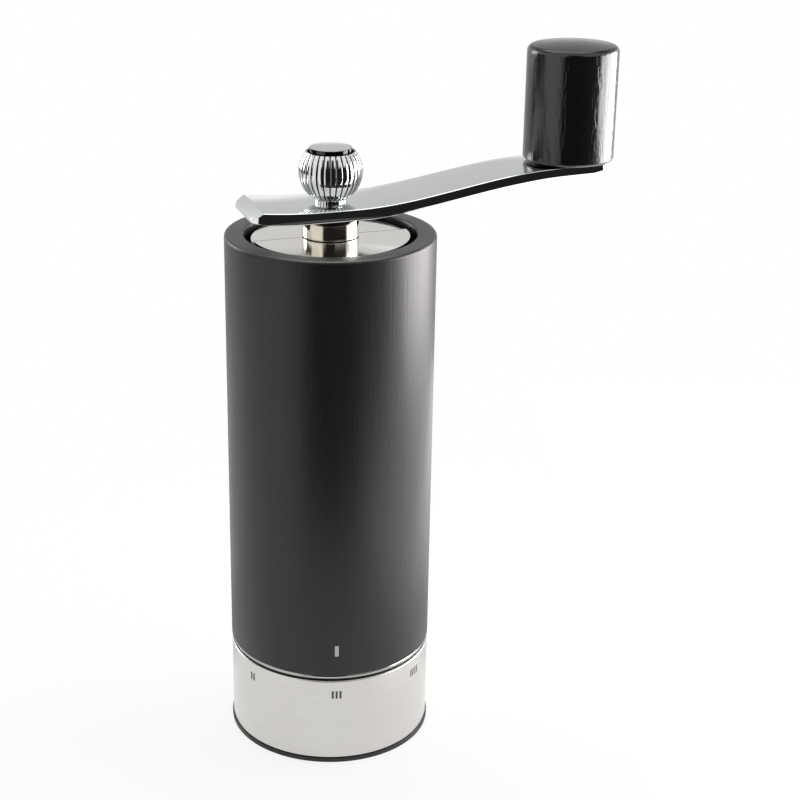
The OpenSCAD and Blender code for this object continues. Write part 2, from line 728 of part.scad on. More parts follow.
// height of the arm's upper and lower face at a distance x from the shaft
swing_end = arm_reach - pin_collar_d / 2 - 0.6;
function arm_up(x) = arm_top + (x < 0
    ? arm_lift * pow(max(0, -x - nut_seat / 2) / (arm_tail - nut_seat / 2), 2)
    : arm_rise * ease((x - nut_seat / 2) / (swing_end - nut_seat / 2)));
function arm_low(x) = x < 0
    ? arm_seat_z + arm_lift * pow(max(0, -x - neck_seat / 2) / (arm_tail - neck_seat / 2), 2)
    : x <= neck_seat / 2 ? arm_seat_z
    : arm_up(x) - arm_tip_t - (arm_up(neck_seat / 2) - arm_seat_z - arm_tip_t) * (1 - ease((x - neck_seat / 2) / arm_thin));
arm_steps = 22;

module crank_arm() color("#c3c8c6") difference() {
    intersection() {
        rotate([90, 0, 0]) linear_extrude(arm_w + arm_w_end, center = true) polygon(concat(
            [[-arm_tail, arm_low(-arm_tail)], [-arm_tail, arm_up(-arm_tail) - bevel_drop]],
            [for (i = [0:6]) let (x = -(arm_tail - arm_bevel) + (arm_tail - arm_bevel - nut_seat / 2) * i / 6) [x, arm_up(x)]],
            [for (i = [0:arm_steps]) let (x = nut_seat / 2 + (swing_end - nut_seat / 2) * i / arm_steps) [x, arm_up(x)]],
            [[arm_reach + arm_end, tip_top], [arm_reach + arm_end, tip_bottom + tip_taper], [arm_reach + rivet_d / 2 + 0.3, tip_bottom]],
            [for (i = [0:arm_steps]) let (x = swing_end + 1 - (swing_end + 1 - neck_seat / 2) * i / arm_steps) [x, arm_low(x)]],
            [for (i = [0:4]) let (x = -neck_seat / 2 - (arm_tail - neck_seat / 2) * i / 5) [x, arm_low(x)]]));
        translate([0, 0, arm_seat_z - 5]) linear_extrude(tip_top - arm_seat_z + 10) polygon(concat(
            arc(-arm_tail + tail_corner, arm_w / 2 - tail_corner, tail_corner, 180, 90),
            arc(arm_reach + arm_end - arm_corner, arm_w_end / 2 - arm_corner, arm_corner, 90, 0, 6),
            arc(arm_reach + arm_end - arm_corner, arm_corner - arm_w_end / 2, arm_corner, 0, -90, 6),
            arc(-arm_tail + tail_corner, tail_corner - arm_w / 2, tail_corner, -90, -180)));
    }
    square_hole(arm_seat_z - 1, arm_t + 2);
    translate([arm_reach, 0, tip_bottom - 2]) cylinder(r = pin_d / 2 + seat_gap, h = arm_tip_t + 4);
}

module knob_pin() color("#b4b8bb") translate([arm_reach, 0, 0]) union() {
    translate([0, 0, tip_bottom - 0.5]) cylinder(d = pin_d, h = knob_z + pin_len - tip_bottom + 0.5);
    translate([0, 0, tip_top]) cylinder(d = pin_collar_d, h = pin_collar_h);
    rotate_extrude() polygon(concat(
        [[0, tip_bottom], [rivet_d / 2, tip_bottom]],
        [for (i = [0:6]) let (u = 1 - i / 6) [rivet_d / 2 * u, tip_bottom - 0.2 - (rivet_h - 0.2) * (1 - u * u)]]));
}

knob_r = knob_d / 2;
knob_bush_top = knob_z + pin_len + 1.4;

module knob_wood() color("#2c2726") translate([arm_reach, 0, 0]) difference() {
    rotate_extrude() polygon(concat(
        [[0, knob_z]],
        arc(knob_r - knob_heel, knob_z + knob_heel, knob_heel, -90, 0, 5),
        arc(knob_r - knob_round, knob_top - knob_dome - knob_round, knob_round, 0, 84, 7),
        [for (i = [1:6]) let (u = 1 - i / 6) [(knob_r - knob_round) * u, knob_top - knob_dome * u * u]]));
    translate([0, 0, knob_z - 1]) cylinder(r = knob_bore_r + seat_gap, h = knob_bush_top - knob_z + 1);
}

module knob_bush() color("#e8e4d8") translate([arm_reach, 0, 0]) difference() {
    translate([0, 0, knob_z]) cylinder(r = knob_bore_r, h = knob_bush_top - knob_z);
    translate([0, 0, knob_z - 1]) cylinder(r = pin_d / 2 + bearing_fit, h = pin_len + 1.4);
}

module nut_insert() color("#c9a94f")
    ring(stud_d / 2 + bearing_fit, insert_d / 2, arm_top, insert_h);

// outline of the ball nut: short foot, sphere, flat rim
nut_r = nut_d / 2;
nut_mid = nut_h - sqrt(nut_r * nut_r - nut_top_d * nut_top_d / 4);

module nut_shell() color("#d5d8d6") difference() {
    translate([0, 0, arm_top]) rotate_extrude() polygon(concat(
        [[0, 0], [nut_foot_d / 2, 0]],
        arc(0, nut_mid, nut_r, -acos(nut_foot_d / 2 / nut_r), acos(nut_top_d / 2 / nut_r), 20), [[0, nut_h]]));
    translate([0, 0, arm_top - 1]) cylinder(r = insert_d / 2 + bearing_fit, h = stud_h + 2);
    translate([0, 0, nut_top - cap_seat]) cylinder(d = cap_d + 2 * cap_groove, h = cap_seat + 1);
}

module nut_cap() color("#dfe1de") rotate_extrude() polygon(concat(
    [[0, nut_top - cap_seat], [cap_d / 2, nut_top - cap_seat], [cap_d / 2, cap_top - 0.15]],
    arc(cap_d / 2 - 0.15, cap_top - 0.15, 0.15, 20, 80, 3),
    [for (i = [0:4]) let (u = 0.95 - 0.95 * i / 4) [cap_d / 2 * u, cap_top + cap_rise * (1 - u * u)]]));

wood_body();
index_mark();
trim_collar();
housing();
housing_screws();
base_plate();
base_screws();
foot_pad();
lower_bush();
detent_spring();
top_bridge();
bridge_screws();
upper_bush();
thrust_washer();
lid_fixed();
lid_clip();
lid_shutter();
ring_shell();
ring_nut();
setting_marks();
stator_carrier();
stator_burr();
stator_retainer();
shaft();
rotor_burr();
rotor_clip();
shaft_clip();
neck_collar();
crank_arm();
knob_pin();
knob_wood();
knob_bush();
nut_insert();
nut_shell();
nut_cap();
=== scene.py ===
import bpy
import bmesh
import math
from mathutils import Matrix, Vector


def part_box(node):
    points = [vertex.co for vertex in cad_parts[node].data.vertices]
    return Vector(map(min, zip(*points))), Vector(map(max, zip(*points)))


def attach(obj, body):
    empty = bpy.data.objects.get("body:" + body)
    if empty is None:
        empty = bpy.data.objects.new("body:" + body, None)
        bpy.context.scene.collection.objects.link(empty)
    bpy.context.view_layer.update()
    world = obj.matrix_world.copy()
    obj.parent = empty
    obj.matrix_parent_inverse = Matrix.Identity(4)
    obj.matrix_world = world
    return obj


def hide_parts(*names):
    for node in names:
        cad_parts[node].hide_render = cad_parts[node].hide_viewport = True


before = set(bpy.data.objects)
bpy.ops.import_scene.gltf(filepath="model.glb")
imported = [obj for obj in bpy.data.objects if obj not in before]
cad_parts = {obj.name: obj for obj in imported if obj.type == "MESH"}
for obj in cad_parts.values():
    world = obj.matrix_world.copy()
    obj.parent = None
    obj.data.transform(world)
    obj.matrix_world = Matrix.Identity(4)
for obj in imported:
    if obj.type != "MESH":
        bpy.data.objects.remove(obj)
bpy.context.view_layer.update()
scene = bpy.context.scene
mm = 0.001


def outward(turn, rise=0.0):
    # the way out from the mill's axis, by degrees round it and above level; turn 0 is towards -Y
    a, e = math.radians(turn), math.radians(rise)
    return Vector((math.sin(a) * math.cos(e), -math.cos(a) * math.cos(e), math.sin(e)))


cameraValues = {
    "turn": -17.0,  # degrees round the mill, 0 looks along +Y
    "distance": 0.4114,  # from the mill's axis, seen from above
    "height": 0.25279,
    "tilt": 21.336,  # looking down
    "roll": 0.121,
    "lens": 77.03,
    "sensor": 36,
    "shiftX": 0.08733,
    "nearest": 0.01,
}


def placeCamera(values):
    turn, roll = math.radians(values["turn"]), math.radians(values["roll"])
    back = outward(values["turn"], values["tilt"])
    level = Vector((math.cos(turn), math.sin(turn), 0))
    steep = back.cross(level)
    right = level * math.cos(roll) + steep * math.sin(roll)
    up = steep * math.cos(roll) - level * math.sin(roll)
    data = bpy.data.cameras.new("camera")
    data.lens = values["lens"]
    data.sensor_width = values["sensor"]
    data.shift_x = values["shiftX"]
    data.clip_start = values["nearest"]
    camera = bpy.data.objects.new("camera", data)
    scene.collection.objects.link(camera)
    place = Matrix((right, up, back)).transposed().to_4x4()
    place.translation = outward(values["turn"]) * values["distance"]
    place.translation.z = values["height"]
    camera.matrix_world = place
    scene.camera = camera


placeCamera(cameraValues)


def addNode(tree, kind, **settings):
    node = tree.nodes.new(kind)
    for key, value in settings.items():
        setattr(node, key, value)
    return node


def feed(tree, socket, value):
    if isinstance(value, bpy.types.NodeSocket):
        tree.links.new(value, socket)
    else:
        socket.default_value = value


def calc(tree, operation, *values):
    node = addNode(tree, "ShaderNodeMath", operation=operation)
    for socket, value in zip(node.inputs, values):
        feed(tree, socket, value)
    return node.outputs[0]


def product(tree, first, *others):
    for other in others:
        first = calc(tree, "MULTIPLY", first, other)
    return first


def remap(tree, value, fromLow, fromHigh, toLow, toHigh, smooth=False):
    node = addNode(tree, "ShaderNodeMapRange", interpolation_type="SMOOTHSTEP" if smooth else "LINEAR")
    ends = {"From Min": fromLow, "From Max": fromHigh, "To Min": toLow, "To Max": toHigh}
    for label, number in ends.items():
        node.inputs[label].default_value = number
    feed(tree, node.inputs["Value"], value)
    return node.outputs["Result"]


def fadeIn(tree, value, start, end):
    return remap(tree, value, start, end, 0, 1, True)


def shadeWhere(tree, mask, shade):
    # 1 where the mask is 0, the shade where it is 1
    return remap(tree, mask, 0, 1, 1, shade)


def split(tree, vector):
    parts = addNode(tree, "ShaderNodeSeparateXYZ")
    feed(tree, parts.inputs[0], vector)
    return parts.outputs


def coordinates(tree, kind):
    return addNode(tree, "ShaderNodeTexCoord").outputs[kind]


def fromAxis(tree, x, y):
    return calc(tree, "SQRT", calc(tree, "ADD", product(tree, x, x), product(tree, y, y)))


def mixShaders(tree, factor, first, second):
    mix = addNode(tree, "ShaderNodeMixShader")
    for socket, value in zip(mix.inputs, (factor, first, second)):
        feed(tree, socket, value)
    return mix.outputs[0]


# Polished metal mirrors the room. A zone of the room has the turn that it lies at, a fade from its side
# edge inwards, as the cosine of the angle from its turn, one or two fades over its height, and a shade.
studioValues = {
    "ambient": 0.55,
    "centre": (0.01, 0, 0.09),  # where the lamps point
    "darkSide": 0.015,  # the shade of the two zones on the camera's side
    "front": {"turn": 1.0, "edge": (0.58, 0.72), "heights": [(0.50, 0.28)]},
    "stand": {"turn": cameraValues["turn"], "edge": (0.90, 0.96), "heights": [(0.80, 0.72)]},
    "zones": {
        "belowTable": {"turn": cameraValues["turn"], "edge": (0.25, -0.1), "heights": [(0.0, -0.1)],
                       "shade": 0.7},
        "curtain": {"turn": -118.0, "edge": (0.90, 0.975), "heights": [(0.30, 0.12)], "shade": 0.06},
        "ceiling": {"turn": cameraValues["turn"], "edge": (0.0, -0.2),
                    "heights": [(0.50, 0.58), (0.88, 0.82)], "shade": 0.4},
        "backdrop": {"turn": 160.0, "edge": (0.70, 0.95), "heights": [(0.05, 0.2), (0.62, 0.52)],
                     "shade": 0.64},
    },
    "lamps": {
        "sidePanel": {"turn": 90, "rise": -4, "distance": 0.62, "size": (0.50, 0.66), "watts": 10.5,
                      "colour": (1.0, 0.955, 0.985)},
        "frontRight": {"turn": 60, "rise": 6, "distance": 0.62, "size": (0.14, 0.30), "watts": 1.0,
                       "colour": (1.0, 0.98, 0.99)},
        "topPanel": {"turn": 165, "rise": 66, "distance": 1.0, "size": (0.8, 0.6), "watts": 5.0,
                     "colour": (1.0, 1.0, 1.0)},
        "leftPanel": {"turn": -140, "rise": 14, "distance": 0.9, "size": (0.30, 0.5), "watts": 2.4,
                      "colour": (1.0, 1.0, 1.0)},
    },
}


def placeLamps(values):
    centre = Vector(values["centre"])
    for name, lampValues in values["lamps"].items():
        data = bpy.data.lights.new(name, "AREA")
        data.shape = "RECTANGLE"
        data.size, data.size_y = lampValues["size"]
        data.energy = lampValues["watts"]
        data.color = lampValues["colour"]
        lamp = bpy.data.objects.new(name, data)
        scene.collection.objects.link(lamp)
        lamp.location = centre + outward(lampValues["turn"], lampValues["rise"]) * lampValues["distance"]
        lamp.rotation_euler = (centre - lamp.location).to_track_quat("-Z", "Y").to_euler()
        lamp.visible_camera = False


def buildWorld(values):
    world = bpy.data.worlds.new("studio")
    scene.world = world
    world.use_nodes = True
    tree = world.node_tree
    tree.nodes.clear()
    x, y, z = split(tree, coordinates(tree, "Generated"))
    plan = calc(tree, "MAXIMUM", fromAxis(tree, x, y), 0.001)  # never 0, straight up and down

    def within(zone):
        way = outward(zone["turn"])
        share = calc(tree, "ADD", product(tree, x, way.x), product(tree, y, way.y))
        fades = [fadeIn(tree, calc(tree, "DIVIDE", share, plan), *zone["edge"])]
        fades += [fadeIn(tree, z, *fade) for fade in zone["heights"]]
        return product(tree, *fades)

    cameraSide = calc(tree, "MAXIMUM", within(values["front"]), within(values["stand"]))
    studio = shadeWhere(tree, cameraSide, values["darkSide"])
    for zone in values["zones"].values():
        studio = product(tree, studio, shadeWhere(tree, within(zone), zone["shade"]))
    path = addNode(tree, "ShaderNodeLightPath")
    mirrored = calc(tree, "MAXIMUM", path.outputs["Is Glossy Ray"], path.outputs["Is Transmission Ray"])
    ambient, room, white = (addNode(tree, "ShaderNodeBackground") for step in range(3))
    for shade, strength in ((ambient, values["ambient"]), (room, studio), (white, 1.0)):
        shade.inputs["Color"].default_value = (1, 1, 1, 1)
        feed(tree, shade.inputs["Strength"], strength)
    surface = mixShaders(tree, mirrored, ambient.outputs[0], room.outputs[0])
    surface = mixShaders(tree, path.outputs["Is Camera Ray"], surface, white.outputs[0])
    feed(tree, addNode(tree, "ShaderNodeOutputWorld").inputs[0], surface)


# a pale table that glows; painted light makes it brighter to the right, and painted shade dims its mirror
# image close behind the mill
floorValues = {
    "front": 0.16, "back": 0.26, "left": 0.8, "right": 0.36,  # how far it reaches, seen from the camera
    "below": 0.00002,
    "paint": 0.8,
    "shadow": 0.16, "fade": (0.06, 0.20),  # how much of its shade shows, and how far out that ends
    # painted light: the table glows brighter than white to the right, in two steps
    "spill": 2.2, "spillEdge": (0.08, 0.11),
    "spillFar": 1.5, "farEdge": (0.14, 0.24),
    # painted shade on the table's mirror image close behind the mill
    "rearDim": 0.55, "rearEdge": (-0.05, -0.01), "rearReach": (0.11, 0.07),
}


def along(tree, vector, way):
    dot = addNode(tree, "ShaderNodeVectorMath", operation="DOT_PRODUCT")
    dot.inputs[1].default_value = way
    feed(tree, dot.inputs[0], vector)
    return dot.outputs["Value"]


def floorPaint(values, near, right):
    paint = bpy.data.materials.new("paleFloor")
    paint.use_nodes = True
    tree = paint.node_tree
    tree.nodes.clear()
    place = coordinates(tree, "Object")
    length = addNode(tree, "ShaderNodeVectorMath", operation="LENGTH")
    feed(tree, length.inputs[0], place)
    away, ahead, aside = length.outputs["Value"], along(tree, place, near), along(tree, place, right)
    path = addNode(tree, "ShaderNodeLightPath")
    seen = calc(tree, "MAXIMUM", path.outputs["Is Camera Ray"], path.outputs["Is Glossy Ray"])
    glow = remap(tree, away, *values["fade"], 1 - values["shadow"], 1, True)
    # painted shade: the table's mirror image dims close behind the mill
    behind = remap(tree, ahead, *values["rearEdge"], 1, 0, True)
    behind = product(tree, fadeIn(tree, away, *values["rearReach"]), behind)
    dim = calc(tree, "MAXIMUM", shadeWhere(tree, behind, values["rearDim"]), path.outputs["Is Camera Ray"])
    # painted light: the table glows brighter to the right
    spill = remap(tree, aside, *values["spillEdge"], 1, values["spill"], True)
    farShare = values["spillFar"] / values["spill"]
    light = addNode(tree, "ShaderNodeEmission")
    feed(tree, light.inputs["Strength"],
         product(tree, spill, remap(tree, aside, *values["farEdge"], 1, farShare, True), dim))
    matt = addNode(tree, "ShaderNodeBsdfDiffuse")
    matt.inputs["Color"].default_value = (values["paint"], values["paint"], values["paint"], 1)
    surface = mixShaders(tree, product(tree, seen, glow), matt.outputs[0], light.outputs[0])
    feed(tree, addNode(tree, "ShaderNodeOutputMaterial").inputs[0], surface)
    return paint


def placeFloor(values):
    near = outward(cameraValues["turn"])
    right = Vector((-near.y, near.x, 0))
    corners = []
    for ahead, aside in ((-values["back"], -values["left"]), (values["front"], -values["left"]),
                         (values["front"], values["right"]), (-values["back"], values["right"])):
        corners.append(tuple(near * ahead + right * aside - Vector((0, 0, values["below"]))))
    mesh = bpy.data.meshes.new("floor")
    mesh.from_pydata(corners, [], [(0, 1, 2, 3)])
    mesh.materials.append(floorPaint(values, near, right))
    floor = bpy.data.objects.new("floor", mesh)
    scene.collection.objects.link(floor)


placeLamps(studioValues)
buildWorld(studioValues)
placeFloor(floorValues)
scene.view_settings.view_transform = "Standard"
print("camera, lamps, world and floor are ready")


def newFinish(name, colour, metallic=0.0, roughness=0.5, specular=0.5):
    finish = bpy.data.materials.new(name)
    finish.use_nodes = True
    shader = finish.node_tree.nodes["Principled BSDF"]
    shader.inputs["Base Color"].default_value = (*colour, 1)
    shader.inputs["Metallic"].default_value = metallic
    shader.inputs["Roughness"].default_value = roughness
    shader.inputs["Specular IOR Level"].default_value = specular
    return finish, finish.node_tree, shader


def cloudy(tree, x, y, z, detail=3.0):
    # noise that changes this many times a metre along each axis
    mapping = addNode(tree, "ShaderNodeMapping")
    mapping.inputs["Scale"].default_value = (x, y, z)
    feed(tree, mapping.inputs["Vector"], coordinates(tree, "Object"))
    noise = addNode(tree, "ShaderNodeTexNoise")
    noise.inputs["Scale"].default_value = 1.0
    noise.inputs["Detail"].default_value = detail
    feed(tree, noise.inputs["Vector"], mapping.outputs[0])
    return noise.outputs[0]


def mixColours(tree, factor, first, second):
    mix = addNode(tree, "ShaderNodeMix", data_type="RGBA")
    for socket, value in zip((mix.inputs[0], mix.inputs[6], mix.inputs[7]), (factor, first, second)):
        feed(tree, socket, value)
    return mix.outputs[2]


def tint(tree, shader, factor, first, second):
    feed(tree, shader.inputs["Base Color"], mixColours(tree, factor, (*first, 1), (*second, 1)))


def scaled(colour, share):
    return tuple(part * share for part in colour)


def relief(tree, shader, height, strength, depth):
    bump = addNode(tree, "ShaderNodeBump")
    bump.inputs["Strength"].default_value = strength
    bump.inputs["Distance"].default_value = depth
    feed(tree, bump.inputs["Height"], height)
    feed(tree, shader.inputs["Normal"], bump.outputs[0])


usualNoise = (0.3, 0.7)  # most of a noise lies between these

# stained beech under black lacquer: pores run up the grain, and end grain shines differently
woodValues = {"cloud": (90, 90, 9), "pores": (0.50, 0.66), "poreDepth": 0.00012, "facing": (0.6, 0.9)}
bodyLacquer = {"dark": (0.0075, 0.0072, 0.0072), "light": (0.013, 0.0125, 0.0125), "roughness": (0.31, 0.39),
               "grain": (1500, 1500, 70), "poreStrength": 0.10, "specular": 0.45, "endSpecular": 0.6}
knobLacquer = {"dark": (0.006, 0.0058, 0.0058), "light": (0.011, 0.0105, 0.0105), "roughness": (0.13, 0.18),
               "grain": (1300, 1300, 260), "poreStrength": 0.2, "specular": 0.7, "endSpecular": 0.2}


def woodFinish(name, wood, lacquer):
    finish, tree, shader = newFinish(name, lacquer["dark"], 0, lacquer["roughness"][1], lacquer["specular"])
    grain = cloudy(tree, *lacquer["grain"], 4.0)
    broad = cloudy(tree, *wood["cloud"], 2.0)
    tint(tree, shader, remap(tree, broad, *usualNoise, 0, 1), lacquer["dark"], lacquer["light"])
    feed(tree, shader.inputs["Roughness"], remap(tree, broad, *usualNoise, *lacquer["roughness"]))
    up = split(tree, coordinates(tree, "Normal"))["Z"]
    feed(tree, shader.inputs["Specular IOR Level"],
         remap(tree, up, *wood["facing"], lacquer["specular"], lacquer["endSpecular"], True))
    pores = remap(tree, grain, *wood["pores"], 0, -1, True)
    relief(tree, shader, pores, lacquer["poreStrength"], wood["poreDepth"])
    return finish


def vary(tree, shader, colour, roughness, tone, gloss, values):
    # one noise moves the colour between two shades, and another the roughness about its middle
    dark, light = (scaled(colour, shade) for shade in values["shades"])
    tint(tree, shader, remap(tree, tone, *usualNoise, 0, 1), dark, light)
    smooth, rough = roughness - values["spread"][0], roughness + values["spread"][1]
    feed(tree, shader.inputs["Roughness"], remap(tree, gloss, *usualNoise, smooth, rough))


# lines left by a belt or a lathe, running round the axis
brushValues = {"across": 16, "cloud": 45, "shades": (0.93, 1), "spread": (0.04, 0.05), "depth": 0.00003}


def brushedFinish(name, colour, roughness, lines=9000, strength=0.12, values=brushValues):
    finish, tree, shader = newFinish(name, colour, 1.0, roughness)
    streak = cloudy(tree, values["across"], values["across"], lines, 5.0)
    cloud = cloudy(tree, values["cloud"], values["cloud"], values["cloud"], 2.0)
    vary(tree, shader, colour, roughness, streak, cloud, values)
    relief(tree, shader, streak, strength, values["depth"])
    return finish


# bright metal with faint wiping marks
polishValues = {"wipe": (120, 120, 60), "tone": (0.35, 0.65), "gloss": (0.35, 0.75), "shade": 0.97}


def polishedFinish(name, colour, roughness, haze=0.03, values=polishValues):
    finish, tree, shader = newFinish(name, colour, 1.0, roughness)
    wipe = cloudy(tree, *values["wipe"], 4.0)
    tint(tree, shader, remap(tree, wipe, *values["tone"], 0, 1), scaled(colour, values["shade"]), colour)
    feed(tree, shader.inputs["Roughness"], remap(tree, wipe, *values["gloss"], roughness, roughness + haze))
    return finish


# ground, cast or plated metal of the inner works
workValues = {"shades": (0.8, 1), "spread": (0.06, 0.08), "depth": 0.00005}


def workingMetal(name, colour, roughness, grainSize, strength, values=workValues):
    finish, tree, shader = newFinish(name, colour, 1.0, roughness)
    grit = cloudy(tree, grainSize, grainSize, grainSize, 4.0)
    vary(tree, shader, colour, roughness, grit, grit, values)
    relief(tree, shader, grit, strength, values["depth"])
    return finish


# moulded plastic and rubber, and printed or etched marks
mouldValues = {"haze": 70, "shades": (0.85, 1.12), "spread": (0.04, 0.05), "depth": 0.00004}


def mouldedFinish(name, colour, roughness, grainSize=2600, strength=0.15, specular=0.4, values=mouldValues):
    finish, tree, shader = newFinish(name, colour, 0.0, roughness, specular)
    grit = cloudy(tree, grainSize, grainSize, grainSize, 3.0)
    haze = cloudy(tree, values["haze"], values["haze"], values["haze"], 2.0)
    vary(tree, shader, colour, roughness, haze, haze, values)
    relief(tree, shader, grit, strength, values["depth"])
    return finish


finishes = {
    "body_wood": woodFinish("bodyLacquer", woodValues, bodyLacquer),
    "knob_wood": woodFinish("knobLacquer", woodValues, knobLacquer),
    "index_inlay": mouldedFinish("indexPaint", (0.52, 0.52, 0.53), 0.45),
    "polished_trim": polishedFinish("trimPolish", (0.44, 0.435, 0.42), 0.05),
    "black_plastic": mouldedFinish("blackMoulding", (0.016, 0.016, 0.017), 0.42),
    "grey_plastic": mouldedFinish("greyMoulding", (0.055, 0.056, 0.060), 0.5),
    "screw_steel": workingMetal("screwZinc", (0.56, 0.57, 0.58), 0.32, 1500, 0.10),
    "foot_rubber": mouldedFinish("footRubber", (0.020, 0.020, 0.019), 0.75, 1600, 0.3, 0.3),
    "bush_plastic": mouldedFinish("bushNylon", (0.62, 0.55, 0.40), 0.4),
    "spring_steel": workingMetal("springSteel", (0.50, 0.51, 0.53), 0.25, 900, 0.06),
    "washer_brass": workingMetal("brass", (0.68, 0.50, 0.24), 0.28, 900, 0.08),
    "mirror_nickel": polishedFinish("warmNickel", (0.72, 0.67, 0.58), 0.035),
    "satin_steel": brushedFinish("ringSteel", (0.68, 0.665, 0.635), 0.26, 9000, 0.06),
    "etched_mark": mouldedFinish("etchedMark", (0.075, 0.072, 0.062), 0.6),
    "carrier_alloy": workingMetal("carrierAlloy", (0.42, 0.43, 0.45), 0.45, 1300, 0.20),
    "burr_steel": workingMetal("burrSteel", (0.34, 0.34, 0.35), 0.36, 2200, 0.30),
    "shaft_steel": brushedFinish("turnedShaft", (0.52, 0.52, 0.53), 0.28, 5000),
    "polished_steel": polishedFinish("polishedSteel", (0.78, 0.81, 0.80), 0.02, 0.02),
    "chrome": polishedFinish("chrome", (0.74, 0.745, 0.75), 0.03, 0.02),
}
lidSteel = polishedFinish("lidSteel", (0.93, 0.91, 0.86), 0.07, 0.04)


def paintedShadeCopy(finish, name, shade, maskFrom):
    # a copy of a finish that is dark grey where the mask, made from the piece's x, y and z, is 1: painted
    # shade
    marked = finish.copy()
    marked.name = name
    tree = marked.node_tree
    base = tree.nodes["Principled BSDF"].inputs["Base Color"]
    mask = maskFrom(tree, *split(tree, coordinates(tree, "Object")))
    feed(tree, base, mixColours(tree, mask, base.links[0].from_socket, (shade, shade, shade, 1)))
    return marked


def grooveShadeMask(count, width, core):
    # painted shade: a dark line at the bottom of each groove round the axis, fully dark over its core
    def mask(tree, x, y, z):
        angle = calc(tree, "ARCTAN2", y, x)
        lobe = calc(tree, "ABSOLUTE", calc(tree, "SINE", product(tree, angle, count / 2)))
        return fadeIn(tree, lobe, width, core)
    return mask


def rebateShadeMask(near, far, low):
    # painted shade: a step between two distances from the axis, above a height
    def mask(tree, x, y, z):
        away = fromAxis(tree, x, y)
        outside, inside = calc(tree, "GREATER_THAN", away, near * mm), calc(tree, "LESS_THAN", away, far * mm)
        return product(tree, outside, inside, calc(tree, "GREATER_THAN", z, low * mm))
    return mask


def seamShadeMask(place, width, core):
    # painted shade: a fine dark line along X, with a soft edge round its core, where the shade of the gap
    # between the lid halves falls
    def mask(tree, x, y, z):
        away = calc(tree, "ABSOLUTE", calc(tree, "SUBTRACT", y, place * mm))
        return remap(tree, away, width / 2 * mm, core / 2 * mm, 0, 1)
    return mask


print("finishes are ready:", len(finishes) + 1)


def softened(outline, steps=6):
    # (radius, height, rounding) corners of a closed outline become points, each corner rounded
    points = []
    for index, (radius, height, rounding) in enumerate(outline):
        here = Vector((radius, height))
        before = Vector(outline[index - 1][:2]) - here
        after = Vector(outline[(index + 1) % len(outline)][:2]) - here
        if not rounding:
            points.append((radius, height))
            continue
        most = 0.49 * min(before.length, after.length)
        cut = min(rounding / math.tan(before.angle(after) / 2), most)
        start, end = here + before.normalized() * cut, here + after.normalized() * cut
        for step in range(steps + 1):
            t = step / steps
            points.append(tuple(start * (1 - t) ** 2 + here * 2 * t * (1 - t) + end * t * t))
    return points


def tidyMesh(shape, sharpAngle=32, weld=0.0001):
    # merges what lies closer than a tiny gap in millimetres, turns faces outwards and marks sharp edges
    bmesh.ops.remove_doubles(shape, verts=shape.verts, dist=weld * mm)
    bmesh.ops.recalc_face_normals(shape, faces=shape.faces)
    for face in shape.faces:
        face.smooth = True
    for edge in shape.edges:
        edge.smooth = len(edge.link_faces) == 2 and edge.calc_face_angle(0) < math.radians(sharpAngle)


def meshFrom(shape, name):
    mesh = bpy.data.meshes.new(name)
    shape.to_mesh(mesh)
    shape.free()
    return mesh


def addPiece(name, mesh, slot, body, node, finish=None):
    piece = bpy.data.objects.new(name, mesh)
    scene.collection.objects.link(piece)
    mesh.materials.clear()
    mesh.materials.append(finish or finishes[slot])
    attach(piece, body)
    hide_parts(node)


def turned(name, points, axisX=0.0, segments=256):
    # a closed outline in millimetres is spun round an upright axis
    shape = bmesh.new()
    angles = [2 * math.pi * i / segments for i in range(segments)]
    rings = []
    for radius, height in points:
        if radius == 0:
            rings.append([shape.verts.new((axisX * mm, 0, height * mm))] * segments)
            continue
        z = height * mm
        places = (((axisX + radius * math.cos(a)) * mm, radius * math.sin(a) * mm, z) for a in angles)
        rings.append([shape.verts.new(place) for place in places])
    for lower, upper in zip(rings, rings[1:] + rings[:1]):
        for i in range(segments):
            j = (i + 1) % segments
            corners = []
            for vert in (lower[i], lower[j], upper[j], upper[i]):
                if vert not in corners:
                    corners.append(vert)
            if len(corners) > 2:
                shape.faces.new(corners)
    tidyMesh(shape)
    return meshFrom(shape, name)


def heights(node):
    # a node's lowest and highest z in millimetres
    return [corner.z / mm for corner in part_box(node)]


def reach(node):
    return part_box(node)[1].x / mm


# wooden body: a turned tube with a ledge for the bearing bridge and a counterbore for the mechanism
bodyValues = {
    "rimRounding": 1.0, "mouthRounding": 0.8, "heelRounding": 0.4, "ledgeRounding": 0.3, "boreRounding": 0.2,
    "mouth": 21.6, "chamber": 18.5, "ledgeBelowRim": 11.6,
    "counterbore": 23.95, "counterboreDepth": 5.0,
    "steps": 8,
}


def makeBody(values):
    (bottom, top), radius = heights("wood_body"), reach("wood_body")
    ledge, ceiling = top - values["ledgeBelowRim"], bottom + values["counterboreDepth"]
    outline = [
        (values["counterbore"], bottom, values["boreRounding"]), (radius, bottom, values["heelRounding"]),
        (radius, top, values["rimRounding"]), (values["mouth"], top, values["mouthRounding"]),
        (values["mouth"], ledge, 0), (values["chamber"], ledge, values["ledgeRounding"]),
        (values["chamber"], ceiling, values["boreRounding"]), (values["counterbore"], ceiling, 0)]
    mesh = turned("woodBody", softened(outline, values["steps"]))
    addPiece("woodBody", mesh, "body_wood", "mill_body", "wood_body")


makeBody(bodyValues)

# polished collar under the body, with a rounded outer edge
trimValues = {"bore": 24.25, "rounding": 0.55, "steps": 8}


